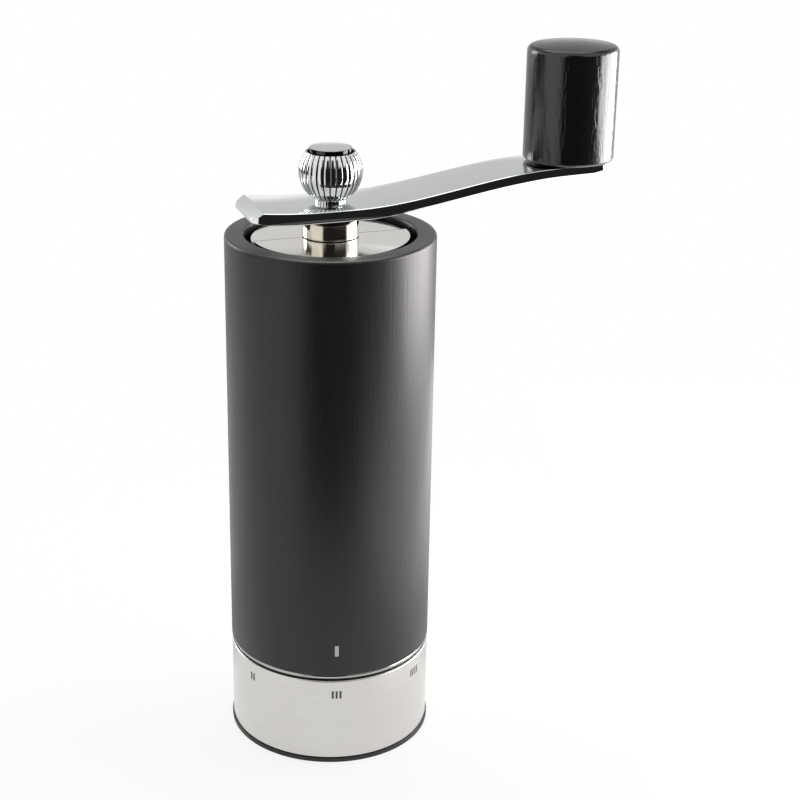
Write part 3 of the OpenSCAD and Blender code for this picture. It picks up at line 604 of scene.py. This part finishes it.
def makeTrim(values):
    (low, high), radius = heights("trim_collar"), reach("trim_collar")
    outline = [(values["bore"], low, 0), (radius, low, values["rounding"]),
               (radius, high, values["rounding"]), (values["bore"], high, 0)]
    mesh = turned("trimCollar", softened(outline, values["steps"]))
    addPiece("trimCollar", mesh, "polished_trim", "mill_body", "trim_collar")


makeTrim(trimValues)

# steel shell of the setting ring, with a lip turned in at the top
ringValues = {"wall": 0.8, "lip": 0.7, "lipThickness": 0.5,
              "topRounding": 0.35, "bottomRounding": 0.2, "innerRounding": 0.1}


def makeRing(values):
    (low, high), radius = heights("ring_shell"), reach("ring_shell")
    inner, under, soft = radius - values["wall"], high - values["lipThickness"], values["innerRounding"]
    lip = inner - values["lip"]
    outline = [(inner, low, soft), (radius, low, values["bottomRounding"]),
               (radius, high, values["topRounding"]), (lip, high, soft), (lip, under, 0), (inner, under, 0)]
    addPiece("ringShell", turned("ringShell", softened(outline)), "satin_steel", "setting_ring", "ring_shell")


makeRing(ringValues)

# neck between the lid and the arm: two narrow bands with a nearly straight waist between them
neckValues = {
    "bore": 2.95, "recess": 6.5, "recessHeight": 1.0,
    "foot": 7.15, "waist": 7.1, "flare": 0.93,  # how much of the step the waist takes up at its ends
    "band": 0.2, "step": 0.3, "rounding": 0.05,
    "rows": 24, "segments": 192,
}


def makeNeck(values):
    low, high = heights("neck_collar")
    foot, waist = values["foot"], values["waist"]
    roof = low + values["recessHeight"]

    def bandFrom(bottom):
        top, inner = bottom + values["band"], foot - values["step"]
        corners = [(inner, bottom, 0), (foot, bottom, values["rounding"]),
                   (foot, top, values["rounding"]), (inner, top, 0)]
        return softened(corners)[1:-1]

    points = [(values["bore"], roof), (values["recess"], roof), (values["recess"], low)]
    points += bandFrom(low)
    margin = values["band"] + values["rounding"]
    for i in range(values["rows"] + 1):
        t = i / values["rows"]
        swell = (foot - waist) * (2 * t - 1) ** 2 * values["flare"]
        points.append((waist + swell, low + margin + (high - low - 2 * margin) * t))
    points += bandFrom(high - values["band"])
    points += [(values["bore"], high)]
    mesh = turned("neckCollar", points, segments=values["segments"])
    addPiece("neckCollar", mesh, "mirror_nickel", "crank", "neck_collar")


makeNeck(neckValues)

# the two halves of the lid, each a thin plate with a hub ring
lidValues = {
    "radius": 19.8, "hub": 7.2,
    "lap": 0.8,  # how far the shutter reaches under the fixed half
    "fixedBore": 4.85, "shutterBore": 5.68,
    # the seam's painted shade: where it lies, its width, its dark core and its shade
    "seamPlace": -0.2, "seamWidth": 0.34, "seamCore": 0.238, "seamShade": 0.10,
    "columns": 96, "rows": 10, "hubColumns": 48, "sharpAngle": 30, "weld": 0.002,
}


def lidHalf(name, low, high, bore, seam, side, values):
    # side 1 is the half behind the seam, -1 the half in front of it
    shape = bmesh.new()
    hub, columns, rows, hubColumns = (values[key] for key in ("hub", "columns", "rows", "hubColumns"))

    def arc(radius):
        # where the half begins at a radius, and how far round it goes from there
        start = math.asin(max(-1, min(1, seam / radius)))
        return (start, math.pi - 2 * start) if side > 0 else (math.pi - start, math.pi + 2 * start)

    def corner(radius, angle, z):
        return shape.verts.new((radius * math.cos(angle) * mm, radius * math.sin(angle) * mm, z * mm))

    def leafRow(radius, z):
        first, span = arc(radius)
        return [corner(radius, first + span * i / columns, z) for i in range(columns + 1)]

    for z in (low, high):
        grid = [leafRow(hub + (values["radius"] - hub) * i / rows, z) for i in range(rows + 1)]
        for inner, outer in zip(grid, grid[1:]):
            for i in range(columns):
                shape.faces.new((inner[i], inner[i + 1], outer[i + 1], outer[i]))
    first, span = arc(hub)
    rest = 2 * math.pi - span
    angles = [first + span * i / columns for i in range(columns + 1)]
    angles += [first + span + rest * i / hubColumns for i in range(1, hubColumns)]
    for z in (low, high):
        inner, outer = ([corner(radius, angle, z) for angle in angles] for radius in (bore, hub))
        for i in range(len(angles)):
            j = (i + 1) % len(angles)
            shape.faces.new((inner[i], inner[j], outer[j], outer[i]))
    bmesh.ops.remove_doubles(shape, verts=shape.verts, dist=values["weld"] * mm)
    middle = (bore + hub) / 2 * mm
    rims = [edge for edge in shape.edges if len(edge.link_faces) == 1]
    for inside in (True, False):
        loops = [edge for edge in rims if (edge.verts[0].co.xy.length < middle) == inside]
        bmesh.ops.bridge_loops(shape, edges=loops)
    tidyMesh(shape, values["sharpAngle"])
    return meshFrom(shape, name)


def makeLid(values):
    seam = seamShadeMask(values["seamPlace"], values["seamWidth"], values["seamCore"])
    # painted shade along the seam of the fixed half
    seamShadedSteel = paintedShadeCopy(lidSteel, "seamShadedLidSteel", values["seamShade"], seam)
    fixed = lidHalf("lidFixedHalf", *heights("lid_fixed"), values["fixedBore"], 0.0, -1, values)
    addPiece("lidFixedHalf", fixed, "polished_trim", "mill_body", "lid_fixed", seamShadedSteel)
    shutter = lidHalf("lidShutter", *heights("lid_shutter"), values["shutterBore"], -values["lap"], 1, values)
    addPiece("lidShutter", shutter, "polished_trim", "shutter", "lid_shutter", lidSteel)


makeLid(lidValues)
print("body, trim, ring, neck and lid are ready")

# crank arm: a bent flat bar, level under the nut, rising to the knob
armValues = {
    "tail": 22.4, "end": 70.7,  # how far it reaches from the mill's axis
    "width": 19.6, "widthEnd": 16.6,
    "thickness": 2.8, "tipThickness": 2.0,
    "nutSeat": 8.0, "neckSeat": 16.6,  # level stretches above and below
    "rise": 6.3, "swingEnd": 58.1,
    "thin": 12.0,  # the run over which it thins
    "fuller": 0.55, "fullerEnd": 26.0,  # extra depth underneath, and the run over which that ends
    "taperStart": 67.0, "tipTaper": 0.7,
    "tailLift": 1.2, "bevel": 2.8, "bevelDrop": 2.0, "crease": 0.06,
    "tailCorner": 3.0, "endCorner": 1.5,
    "edge": 0.22, "edgeShare": 0.45,  # edge rounding, and the most of the bar that it may take
    "leastHalf": 0.4, "sharpAngle": 24,
    "tailSteps": 20, "steps": 150, "endSteps": 16, "edgeSteps": 4,
}


def ease(t):
    t = min(1, max(0, t))
    return t * t * (3 - 2 * t)


def armHeights(values, seat, x):
    # underside and top of the bar at a distance from the mill's axis
    below, above = values["neckSeat"] / 2, values["nutSeat"] / 2

    def lift(flat):
        return values["tailLift"] * (max(0, -x - flat) / (values["tail"] - flat)) ** 2

    def topAt(place):
        swing = ease((place - above) / (values["swingEnd"] - above))
        return seat + values["thickness"] + values["rise"] * swing

    if x < 0:
        return seat + lift(below), seat + values["thickness"] + lift(above)
    if x <= below:
        return seat, topAt(x)
    thinning = ease((x - below) / values["thin"])
    spare = (topAt(below) - seat - values["tipThickness"]) * (1 - thinning)
    fuller = values["fuller"] * thinning * ease((values["end"] - x) / values["fullerEnd"])
    taper = values["tipTaper"] * max(0, x - values["taperStart"]) / (values["end"] - values["taperStart"])
    return topAt(x) - values["tipThickness"] - spare - fuller + taper, topAt(x)


def armWidth(values, x):
    # half the bar's width, with rounded corners in plan at both ends
    tailCorner, endCorner = values["tailCorner"], values["endCorner"]
    tailStart, endStart = tailCorner - values["tail"], values["end"] - endCorner
    share = (min(max(x, tailStart), endStart) - tailStart) / (endStart - tailStart)
    half = (values["width"] + (values["widthEnd"] - values["width"]) * share) / 2
    if x < tailStart:
        return half - tailCorner + math.sqrt(max(0.0, tailCorner ** 2 - (tailStart - x) ** 2))
    if x > endStart:
        return half - endCorner + math.sqrt(max(0.0, endCorner ** 2 - (x - endStart) ** 2))
    return half


def armStations(values):
    # places along the bar, closer together round its corners and at the bevel's crease
    tail, end = -values["tail"], values["end"] - values["endCorner"]
    crease, gap = tail + values["bevel"], values["crease"]
    quarter = math.pi / 2
    places = [tail + values["tailCorner"] * (1 - math.cos(quarter * i / values["tailSteps"]))
              for i in range(values["tailSteps"])]
    places += [crease - gap, crease + gap]
    places += [crease + gap + (end - crease) * i / values["steps"] for i in range(1, values["steps"])]
    places += [end + values["endCorner"] * math.sin(quarter * i / values["endSteps"])
               for i in range(values["endSteps"] + 1)]
    return sorted(set(round(x, 5) for x in places))


def makeArm(values):
    seat = heights("crank_arm")[0]
    crease = values["bevel"] - values["tail"]
    shape = bmesh.new()
    loops = []
    for x in armStations(values):
        bottom, top = armHeights(values, seat, x)
        top -= values["bevelDrop"] * max(0, crease - x) / values["bevel"]
        half = max(armWidth(values, x), values["leastHalf"])
        soft = min(values["edge"], (top - bottom) * values["edgeShare"], half * values["edgeShare"])
        ring = []
        for y, z, first in ((half, top, 0), (-half, top, 90), (-half, bottom, 180), (half, bottom, 270)):
            centreY, centreZ = y - math.copysign(soft, y), z - soft if z == top else z + soft
            for step in range(values["edgeSteps"] + 1):
                a = math.radians(first + 90 * step / values["edgeSteps"])
                ring.append(shape.verts.new((x * mm, (centreY + soft * math.cos(a)) * mm,
                                             (centreZ + soft * math.sin(a)) * mm)))
        loops.append(ring)
    for before, after in zip(loops, loops[1:]):
        for i in range(len(before)):
            j = (i + 1) % len(before)
            shape.faces.new((before[i], before[j], after[j], after[i]))
    shape.faces.new(loops[0])
    shape.faces.new(loops[-1])
    tidyMesh(shape, values["sharpAngle"])
    addPiece("crankArm", meshFrom(shape, "crankArm"), "polished_steel", "crank", "crank_arm")


makeArm(armValues)

knobAxis = 63.3  # from the mill's axis to the middle of the pin

# pin, collar and rivet head that hold the knob
pinValues = {
    "shank": 2.5, "shankRounding": 0.4,
    "rivet": 3.4, "rivetBrim": 0.1, "rivetSteps": 10,
    "collar": 4.6, "collarThickness": 0.4, "collarHeel": 0.15, "collarRounding": 0.35,
    "segments": 96,
}


def makePin(values, armThickness):
    low, high = heights("knob_pin")
    armTop = heights("crank_arm")[1]
    armUnder, collarTop = armTop - armThickness, armTop + values["collarThickness"]
    shank, collar, rivet, steps = (values[key] for key in ("shank", "collar", "rivet", "rivetSteps"))
    drop = armUnder - values["rivetBrim"] - low
    outline = [(rivet * i / steps, low + drop * (i / steps) ** 2, 0) for i in range(steps + 1)]
    outline += [(rivet, armUnder, 0), (shank, armUnder, 0), (shank, armTop, 0),
                (collar, armTop, values["collarHeel"]), (collar, collarTop, values["collarRounding"]),
                (shank, collarTop, 0), (shank, high, values["shankRounding"]), (0, high, 0)]
    mesh = turned("knobPin", softened(outline), knobAxis, values["segments"])
    addPiece("knobPin", mesh, "screw_steel", "crank", "knob_pin", finishes["polished_steel"])


makePin(pinValues, armValues["tipThickness"])

# turned knob with a slightly domed top
knobValues = {
    "radius": 11.5, "topRounding": 1.6, "heelRounding": 0.8, "dome": 0.7,
    "bore": 4.2, "boreDepth": 22.9,
    "heelSteps": 8, "topSteps": 12, "domeSteps": 14, "segments": 192,
}


def makeKnob(values):
    low, high = heights("knob_wood")
    radius, top, heel = values["radius"], values["topRounding"], values["heelRounding"]
    rim, brim = radius - top, high - values["dome"]
    roof = low + values["boreDepth"]
    points = [(0, roof), (values["bore"], roof), (values["bore"], low)]
    for i in range(values["heelSteps"] + 1):
        a = math.pi / 2 * i / values["heelSteps"]
        points.append((radius - heel * (1 - math.sin(a)), low + heel * (1 - math.cos(a))))
    turn = math.pi / 2 - math.atan(2 * values["dome"] / rim)
    centre = brim - top * math.sin(turn)
    for i in range(values["topSteps"]):
        a = turn * i / values["topSteps"]
        points.append((rim + top * math.cos(a), centre + top * math.sin(a)))
    for i in range(values["domeSteps"] + 1):
        out = 1 - i / values["domeSteps"]
        points.append((rim * out, high - values["dome"] * out ** 2))
    mesh = turned("knobWood", points, knobAxis, values["segments"])
    addPiece("knobWood", mesh, "knob_wood", "knob", "knob_wood")


makeKnob(knobValues)
print("arm, pin and knob are ready")


def newTree(name, inputs):
    tree = bpy.data.node_groups.new(name, "GeometryNodeTree")
    tree.interface.new_socket("Geometry", in_out="INPUT", socket_type="NodeSocketGeometry")
    for label, kind, value in inputs:
        socket = tree.interface.new_socket(label, in_out="INPUT", socket_type="NodeSocket" + kind)
        if value is not None:
            socket.default_value = value
    tree.interface.new_socket("Geometry", in_out="OUTPUT", socket_type="NodeSocketGeometry")
    return tree, addNode(tree, "NodeGroupInput").outputs, addNode(tree, "NodeGroupOutput")


def finishTree(tree, geometry, material, output):
    realize = addNode(tree, "GeometryNodeRealizeInstances")
    dress = addNode(tree, "GeometryNodeSetMaterial")
    feed(tree, realize.inputs["Geometry"], geometry)
    feed(tree, dress.inputs["Geometry"], realize.outputs[0])
    feed(tree, dress.inputs["Material"], material)
    feed(tree, output.inputs["Geometry"], dress.outputs[0])


def combined(tree, x=0.0, y=0.0, z=0.0):
    vector = addNode(tree, "ShaderNodeCombineXYZ")
    for socket, value in zip(vector.inputs, (x, y, z)):
        feed(tree, socket, value)
    return vector.outputs[0]


def copiesAt(tree, points, shape, rotation):
    copies = addNode(tree, "GeometryNodeInstanceOnPoints")
    for label, value in (("Points", points), ("Instance", shape), ("Rotation", rotation)):
        feed(tree, copies.inputs[label], value)
    return copies.outputs[0]


def grow(name, mesh, tree, values, sharpAngle=30):
    # runs a tree on a guide mesh and returns the plain result
    guide = bpy.data.objects.new(name + "Guide", mesh)
    scene.collection.objects.link(guide)
    modifier = guide.modifiers.new(tree.name, "NODES")
    modifier.node_group = tree
    for item in tree.interface.items_tree:
        if item.item_type == "SOCKET" and item.in_out == "INPUT" and item.name in values:
            modifier[item.identifier] = values[item.name]
    evaluated = guide.evaluated_get(bpy.context.evaluated_depsgraph_get())
    result = bpy.data.meshes.new_from_object(evaluated)
    guide.modifiers.remove(modifier)
    bpy.data.objects.remove(guide)
    shape = bmesh.new()
    shape.from_mesh(result)
    tidyMesh(shape, sharpAngle)
    return meshFrom(shape, name)


# the flutes of the ball nut press lobes into a turned ball
def fluteTree():
    tree, given, output = newTree("ballFlutes", [
        ("Flutes", "Int", 32), ("Depth", "Float", 0.0005), ("Sharpness", "Float", 0.7),
        ("Foot", "Float", 0.147), ("Foot Fade", "Float", 0.002),
        ("Rim", "Float", 0.160), ("Rim Fade", "Float", 0.001), ("Material", "Material", None)])
    x, y, z = split(tree, addNode(tree, "GeometryNodeInputPosition").outputs[0])
    angle = calc(tree, "ARCTAN2", y, x)
    lobe = calc(tree, "ABSOLUTE", calc(tree, "SINE", product(tree, angle, given["Flutes"], 0.5)))
    valley = calc(tree, "SUBTRACT", 1.0, calc(tree, "POWER", lobe, given["Sharpness"]))
    fromFoot = calc(tree, "DIVIDE", calc(tree, "SUBTRACT", z, given["Foot"]), given["Foot Fade"])
    fromRim = calc(tree, "DIVIDE", calc(tree, "SUBTRACT", given["Rim"], z), given["Rim Fade"])
    fade = product(tree, fadeIn(tree, fromFoot, 0, 1), fadeIn(tree, fromRim, 0, 1))
    sink = product(tree, valley, given["Depth"], fade)
    radius = calc(tree, "MAXIMUM", fromAxis(tree, x, y), 0.0001)
    share = calc(tree, "SUBTRACT", 1.0, calc(tree, "DIVIDE", sink, radius))
    shift = addNode(tree, "GeometryNodeSetPosition")
    feed(tree, shift.inputs["Geometry"], given["Geometry"])
    feed(tree, shift.inputs["Position"], combined(tree, product(tree, x, share), product(tree, y, share), z))
    finishTree(tree, shift.outputs[0], given["Material"], output)
    return tree


# ball nut: short foot, fluted sphere, narrow rim and a seat for the cap
nutValues = {
    "foot": 4.0, "radius": 7.95, "rim": 6.2, "rows": 60,
    "bore": 2.95, "boreDepth": 11.2, "capSeat": 5.8, "seatDepth": 0.9,
    "flutes": 30, "fluteDepth": 0.24, "sharpness": 0.35, "footFade": 2.0, "rimFade": 0.3,
    # grooveWidth, grooveCore and grooveShade set the painted shade in the flute valleys
    "grooveWidth": 0.56, "grooveCore": 0.224, "grooveShade": 0.05,
    "stepNear": 3.0, "stepFar": 5.85, "stepLow": 0.05, "stepShade": 0.05,  # painted shade between shell and cap
    "segmentsPerFlute": 12, "sharpAngle": 50,
}


def makeNut(values):
    (low, high), radius = heights("nut_shell"), values["radius"]
    tall = high - low
    first, last = -math.acos(values["foot"] / radius), math.acos(values["rim"] / radius)
    middle = tall - radius * math.sin(last)
    points = [(values["bore"], values["boreDepth"]), (values["bore"], 0), (values["foot"], 0)]
    for i in range(values["rows"] + 1):
        a = first + (last - first) * i / values["rows"]
        points.append((radius * math.cos(a), middle + radius * math.sin(a)))
    seat = tall - values["seatDepth"]
    points += [(values["capSeat"], tall), (values["capSeat"], seat), (0, seat), (0, values["boreDepth"])]
    segments = values["flutes"] * values["segmentsPerFlute"]
    ball = turned("ballNut", [(radius, z + low) for radius, z in points], segments=segments)
    lines = grooveShadeMask(values["flutes"], values["grooveWidth"], values["grooveCore"])
    step = rebateShadeMask(values["stepNear"], values["stepFar"], heights("nut_cap")[0] - values["stepLow"])
    # painted shade in the flute valleys, then on the step between shell and cap
    plate = paintedShadeCopy(finishes["chrome"], "grooveShadedPlate", values["grooveShade"], lines)
    chrome = paintedShadeCopy(plate, "grooveAndStepShadedChrome", values["stepShade"], step)
    mesh = grow("ballNut", ball, fluteTree(), {
        "Flutes": values["flutes"], "Depth": values["fluteDepth"] * mm, "Sharpness": values["sharpness"],
        "Foot": low * mm, "Foot Fade": values["footFade"] * mm,
        "Rim": high * mm, "Rim Fade": values["rimFade"] * mm, "Material": chrome}, values["sharpAngle"])
    addPiece("ballNut", mesh, "chrome", "ball_nut", "nut_shell", chrome)


makeNut(nutValues)

# plain domed cap of the nut, with painted shade at its side where it stands in the shell
capValues = {
    "radius": 5.3, "edge": 0.12, "edgeTurn": 84, "rise": 0.2,
    "sideNear": 5.2, "sideFar": 5.4, "sideShade": 0.05,
    "edgeSteps": 6, "domeSteps": 10, "segments": 128,
}


def makeCap(values):
    low, high = heights("nut_cap")
    radius, edge, rise = values["radius"], values["edge"], values["rise"]
    brim, inner = high - rise, radius - edge
    points = [(0, low), (radius, low), (radius, brim - edge)]
    for i in range(1, values["edgeSteps"] + 1):
        a = math.radians(i * values["edgeTurn"] / values["edgeSteps"])
        points.append((radius - edge * (1 - math.cos(a)), brim - edge * (1 - math.sin(a))))
    for i in range(values["domeSteps"] + 1):
        out = 1 - i / values["domeSteps"]
        points.append((inner * out, brim + rise * (1 - out ** 2)))
    # painted shade on the cap's side inside the shell
    side = rebateShadeMask(values["sideNear"], values["sideFar"], low)
    chrome = paintedShadeCopy(finishes["chrome"], "capSideShadedChrome", values["sideShade"], side)
    mesh = turned("nutCap", points, segments=values["segments"])
    addPiece("nutCap", mesh, "chrome", "ball_nut", "nut_cap", chrome)


makeCap(capValues)
print("ball nut and cap are ready")


# one flat bar with rounded corners at each guide point, facing away from the axis
def barTree():
    tree, given, output = newTree("markBars", [
        ("Width", "Float", 0.00055), ("Height", "Float", 0.0022), ("Rounding", "Float", 0.0001),
        ("Depth", "Float", 0.0001), ("Material", "Material", None)])
    outline = addNode(tree, "GeometryNodeCurvePrimitiveQuadrilateral")
    feed(tree, outline.inputs["Width"], given["Width"])
    feed(tree, outline.inputs["Height"], given["Height"])
    corner = addNode(tree, "GeometryNodeFilletCurve", mode="POLY")
    feed(tree, corner.inputs["Curve"], outline.outputs[0])
    feed(tree, corner.inputs["Radius"], given["Rounding"])
    corner.inputs["Count"].default_value = 4  # points round each corner
    plate = addNode(tree, "GeometryNodeFillCurve")
    feed(tree, plate.inputs["Curve"], corner.outputs[0])
    stand = addNode(tree, "GeometryNodeTransform")
    stand.inputs["Rotation"].default_value = (math.pi / 2, 0, math.pi / 2)
    feed(tree, stand.inputs["Geometry"], plate.outputs[0])
    push = addNode(tree, "GeometryNodeExtrudeMesh")
    feed(tree, push.inputs["Mesh"], stand.outputs[0])
    feed(tree, push.inputs["Offset Scale"], given["Depth"])
    flip = addNode(tree, "GeometryNodeFlipFaces")
    feed(tree, flip.inputs["Mesh"], stand.outputs[0])
    both = addNode(tree, "GeometryNodeJoinGeometry")
    feed(tree, both.inputs[0], push.outputs["Mesh"])
    feed(tree, both.inputs[0], flip.outputs[0])
    x, y, z = split(tree, addNode(tree, "GeometryNodeInputPosition").outputs[0])
    facing = combined(tree, z=calc(tree, "ARCTAN2", y, x))
    bars = copiesAt(tree, given["Geometry"], both.outputs[0], facing)
    finishTree(tree, bars, given["Material"], output)
    return tree


def guidePoints(name, places):
    # points from their distance and turn round the axis, and their height
    mesh = bpy.data.meshes.new(name)
    points = []
    for radius, turn, z in places:
        a = math.radians(turn)
        points.append((radius * math.cos(a) * mm, radius * math.sin(a) * mm, z * mm))
    mesh.from_pydata(points, [], [])
    return mesh


def addBars(name, places, tree, values, slot, body, node):
    mesh = grow(name, guidePoints(name, places), tree, {
        "Width": values["width"] * mm, "Height": values["height"] * mm, "Rounding": values["rounding"] * mm,
        "Depth": values["depth"] * mm, "Material": finishes[slot]})
    addPiece(name, mesh, slot, body, node)


# tally bars etched round the ring, one to six, and the index bar let into the wood
markValues = {"index": -103.0, "step": 54.0, "groups": 6, "atIndex": 3, "pitch": 1.0, "middle": 20.4,
              "width": 0.55, "height": 2.2, "rounding": 0.12, "depth": 0.1, "proud": 0.012}
indexValues = {"middle": 33.3, "width": 1.0, "height": 3.0, "rounding": 0.15, "depth": 0.3, "proud": 0.012}


def makeMarks(marks, index):
    bars = barTree()
    ring, wood = reach("ring_shell"), reach("wood_body")
    places = []
    for group in range(1, marks["groups"] + 1):
        for bar in range(group):
            aside = math.degrees((bar - (group - 1) / 2) * marks["pitch"] / ring)
            turn = marks["index"] + (group - marks["atIndex"]) * marks["step"] + aside
            places.append((ring + marks["proud"] - marks["depth"], turn, marks["middle"]))
    addBars("settingMarks", places, bars, marks, "etched_mark", "setting_ring", "setting_marks")
    places = [(wood + index["proud"] - index["depth"], marks["index"], index["middle"])]
    addBars("indexMark", places, bars, index, "index_inlay", "mill_body", "index_mark")


makeMarks(markValues, indexValues)


# the socket's width is a share of the head's radius, its depth of the head's height
screwValues = {"socket": 0.45, "socketDepth": 1.2, "chamfer": 0.16, "overlap": 0.1,
               "headSides": 48, "shankSides": 32, "socketSides": 6}
screwSets = {
    "housingScrews": {"node": "housing_screws", "circle": 21.8, "turns": (90, 210, 330), "down": False,
                      "head": 1.9, "headHeight": 1.0, "shank": 1.1, "length": 11.4},
    "baseScrews": {"node": "base_screws", "circle": 19.3, "turns": (30, 150, 270), "down": False,
                   "head": 1.9, "headHeight": 1.1, "shank": 1.0, "length": 10.5},
    "bridgeScrews": {"node": "bridge_screws", "circle": 20.025, "turns": (90, 225, 315), "down": True,
                     "head": 1.2, "headHeight": 0.9, "shank": 0.8, "length": 11.0},
}


# a socket screw at each guide point, head first
def screwTree(values):
    tree, given, output = newTree("socketScrews", [
        ("Head Radius", "Float", 0.0019), ("Head Height", "Float", 0.001), ("Chamfer", "Float", 0.0002),
        ("Shank Radius", "Float", 0.0011), ("Shank Length", "Float", 0.011), ("Socket", "Float", 0.00086),
        ("Overlap", "Float", 0.0001), ("Tilt", "Float", 0.0), ("Material", "Material", None)])

    def raised(kind, sides, lift, **sizes):
        node = addNode(tree, kind)
        node.inputs["Vertices"].default_value = sides
        for label, value in sizes.items():
            feed(tree, node.inputs[label.replace("_", " ")], value)
        move = addNode(tree, "GeometryNodeTransform")
        feed(tree, move.inputs["Geometry"], node.outputs["Mesh"])
        feed(tree, move.inputs["Translation"], combined(tree, z=lift))
        return move.outputs[0]

    wide, tall, chamfer = given["Head Radius"], given["Head Height"], given["Chamfer"]
    straight = calc(tree, "SUBTRACT", tall, chamfer)
    middle = calc(tree, "ADD", chamfer, product(tree, straight, 0.5))
    head = raised("GeometryNodeMeshCylinder", values["headSides"], middle, Radius=wide, Depth=straight)
    face = calc(tree, "SUBTRACT", wide, chamfer)
    rim = raised("GeometryNodeMeshCone", values["headSides"], 0.0,
                 Radius_Top=wide, Radius_Bottom=face, Depth=chamfer)
    length = calc(tree, "ADD", given["Shank Length"], given["Overlap"])
    middle = calc(tree, "ADD", calc(tree, "SUBTRACT", tall, given["Overlap"]), product(tree, length, 0.5))
    shank = raised("GeometryNodeMeshCylinder", values["shankSides"], middle,
                   Radius=given["Shank Radius"], Depth=length)
    socket = raised("GeometryNodeMeshCylinder", values["socketSides"], 0.0,
                    Radius=given["Socket"], Depth=product(tree, tall, values["socketDepth"]))
    whole = addNode(tree, "GeometryNodeMeshBoolean", operation="UNION")
    for part in (head, rim, shank):
        tree.links.new(part, whole.inputs["Mesh 2"])
    cut = addNode(tree, "GeometryNodeMeshBoolean", operation="DIFFERENCE")
    feed(tree, cut.inputs["Mesh 1"], whole.outputs["Mesh"])
    tree.links.new(socket, cut.inputs["Mesh 2"])
    screws = copiesAt(tree, given["Geometry"], cut.outputs["Mesh"], combined(tree, x=given["Tilt"]))
    finishTree(tree, screws, given["Material"], output)
    return tree


def makeScrews(shared, sets):
    tree = screwTree(shared)
    for name, values in sets.items():
        start = heights(values["node"])[1 if values["down"] else 0]
        places = [(values["circle"], turn, start) for turn in values["turns"]]
        mesh = grow(name, guidePoints(name, places), tree, {
            "Head Radius": values["head"] * mm, "Head Height": values["headHeight"] * mm,
            "Shank Radius": values["shank"] * mm, "Shank Length": values["length"] * mm,
            "Socket": values["head"] * shared["socket"] * mm, "Chamfer": shared["chamfer"] * mm,
            "Overlap": shared["overlap"] * mm, "Tilt": math.pi if values["down"] else 0.0,
            "Material": finishes["screw_steel"]})
        addPiece(name, mesh, "screw_steel", "mill_body", values["node"])


makeScrews(screwValues, screwSets)
print("marks and screws are ready")

# inner works keep their solids and take a finish each
innerFinishes = {
    "black_plastic": ("housing", "base_plate", "top_bridge"),
    "grey_plastic": ("ring_nut",),
    "foot_rubber": ("foot_pad",),
    "bush_plastic": ("lower_bush", "upper_bush", "knob_bush"),
    "spring_steel": ("detent_spring", "lid_clip", "stator_retainer", "rotor_clip", "shaft_clip"),
    "washer_brass": ("thrust_washer", "nut_insert"),
    "carrier_alloy": ("stator_carrier",),
    "burr_steel": ("stator_burr", "rotor_burr"),
    "shaft_steel": ("shaft",),
}


def dressInner(table):
    for slot, nodes in table.items():
        for node in nodes:
            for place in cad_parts[node].material_slots:
                place.material = finishes[slot]


dressInner(innerFinishes)
print("inner works are dressed")

print("scene is finished")
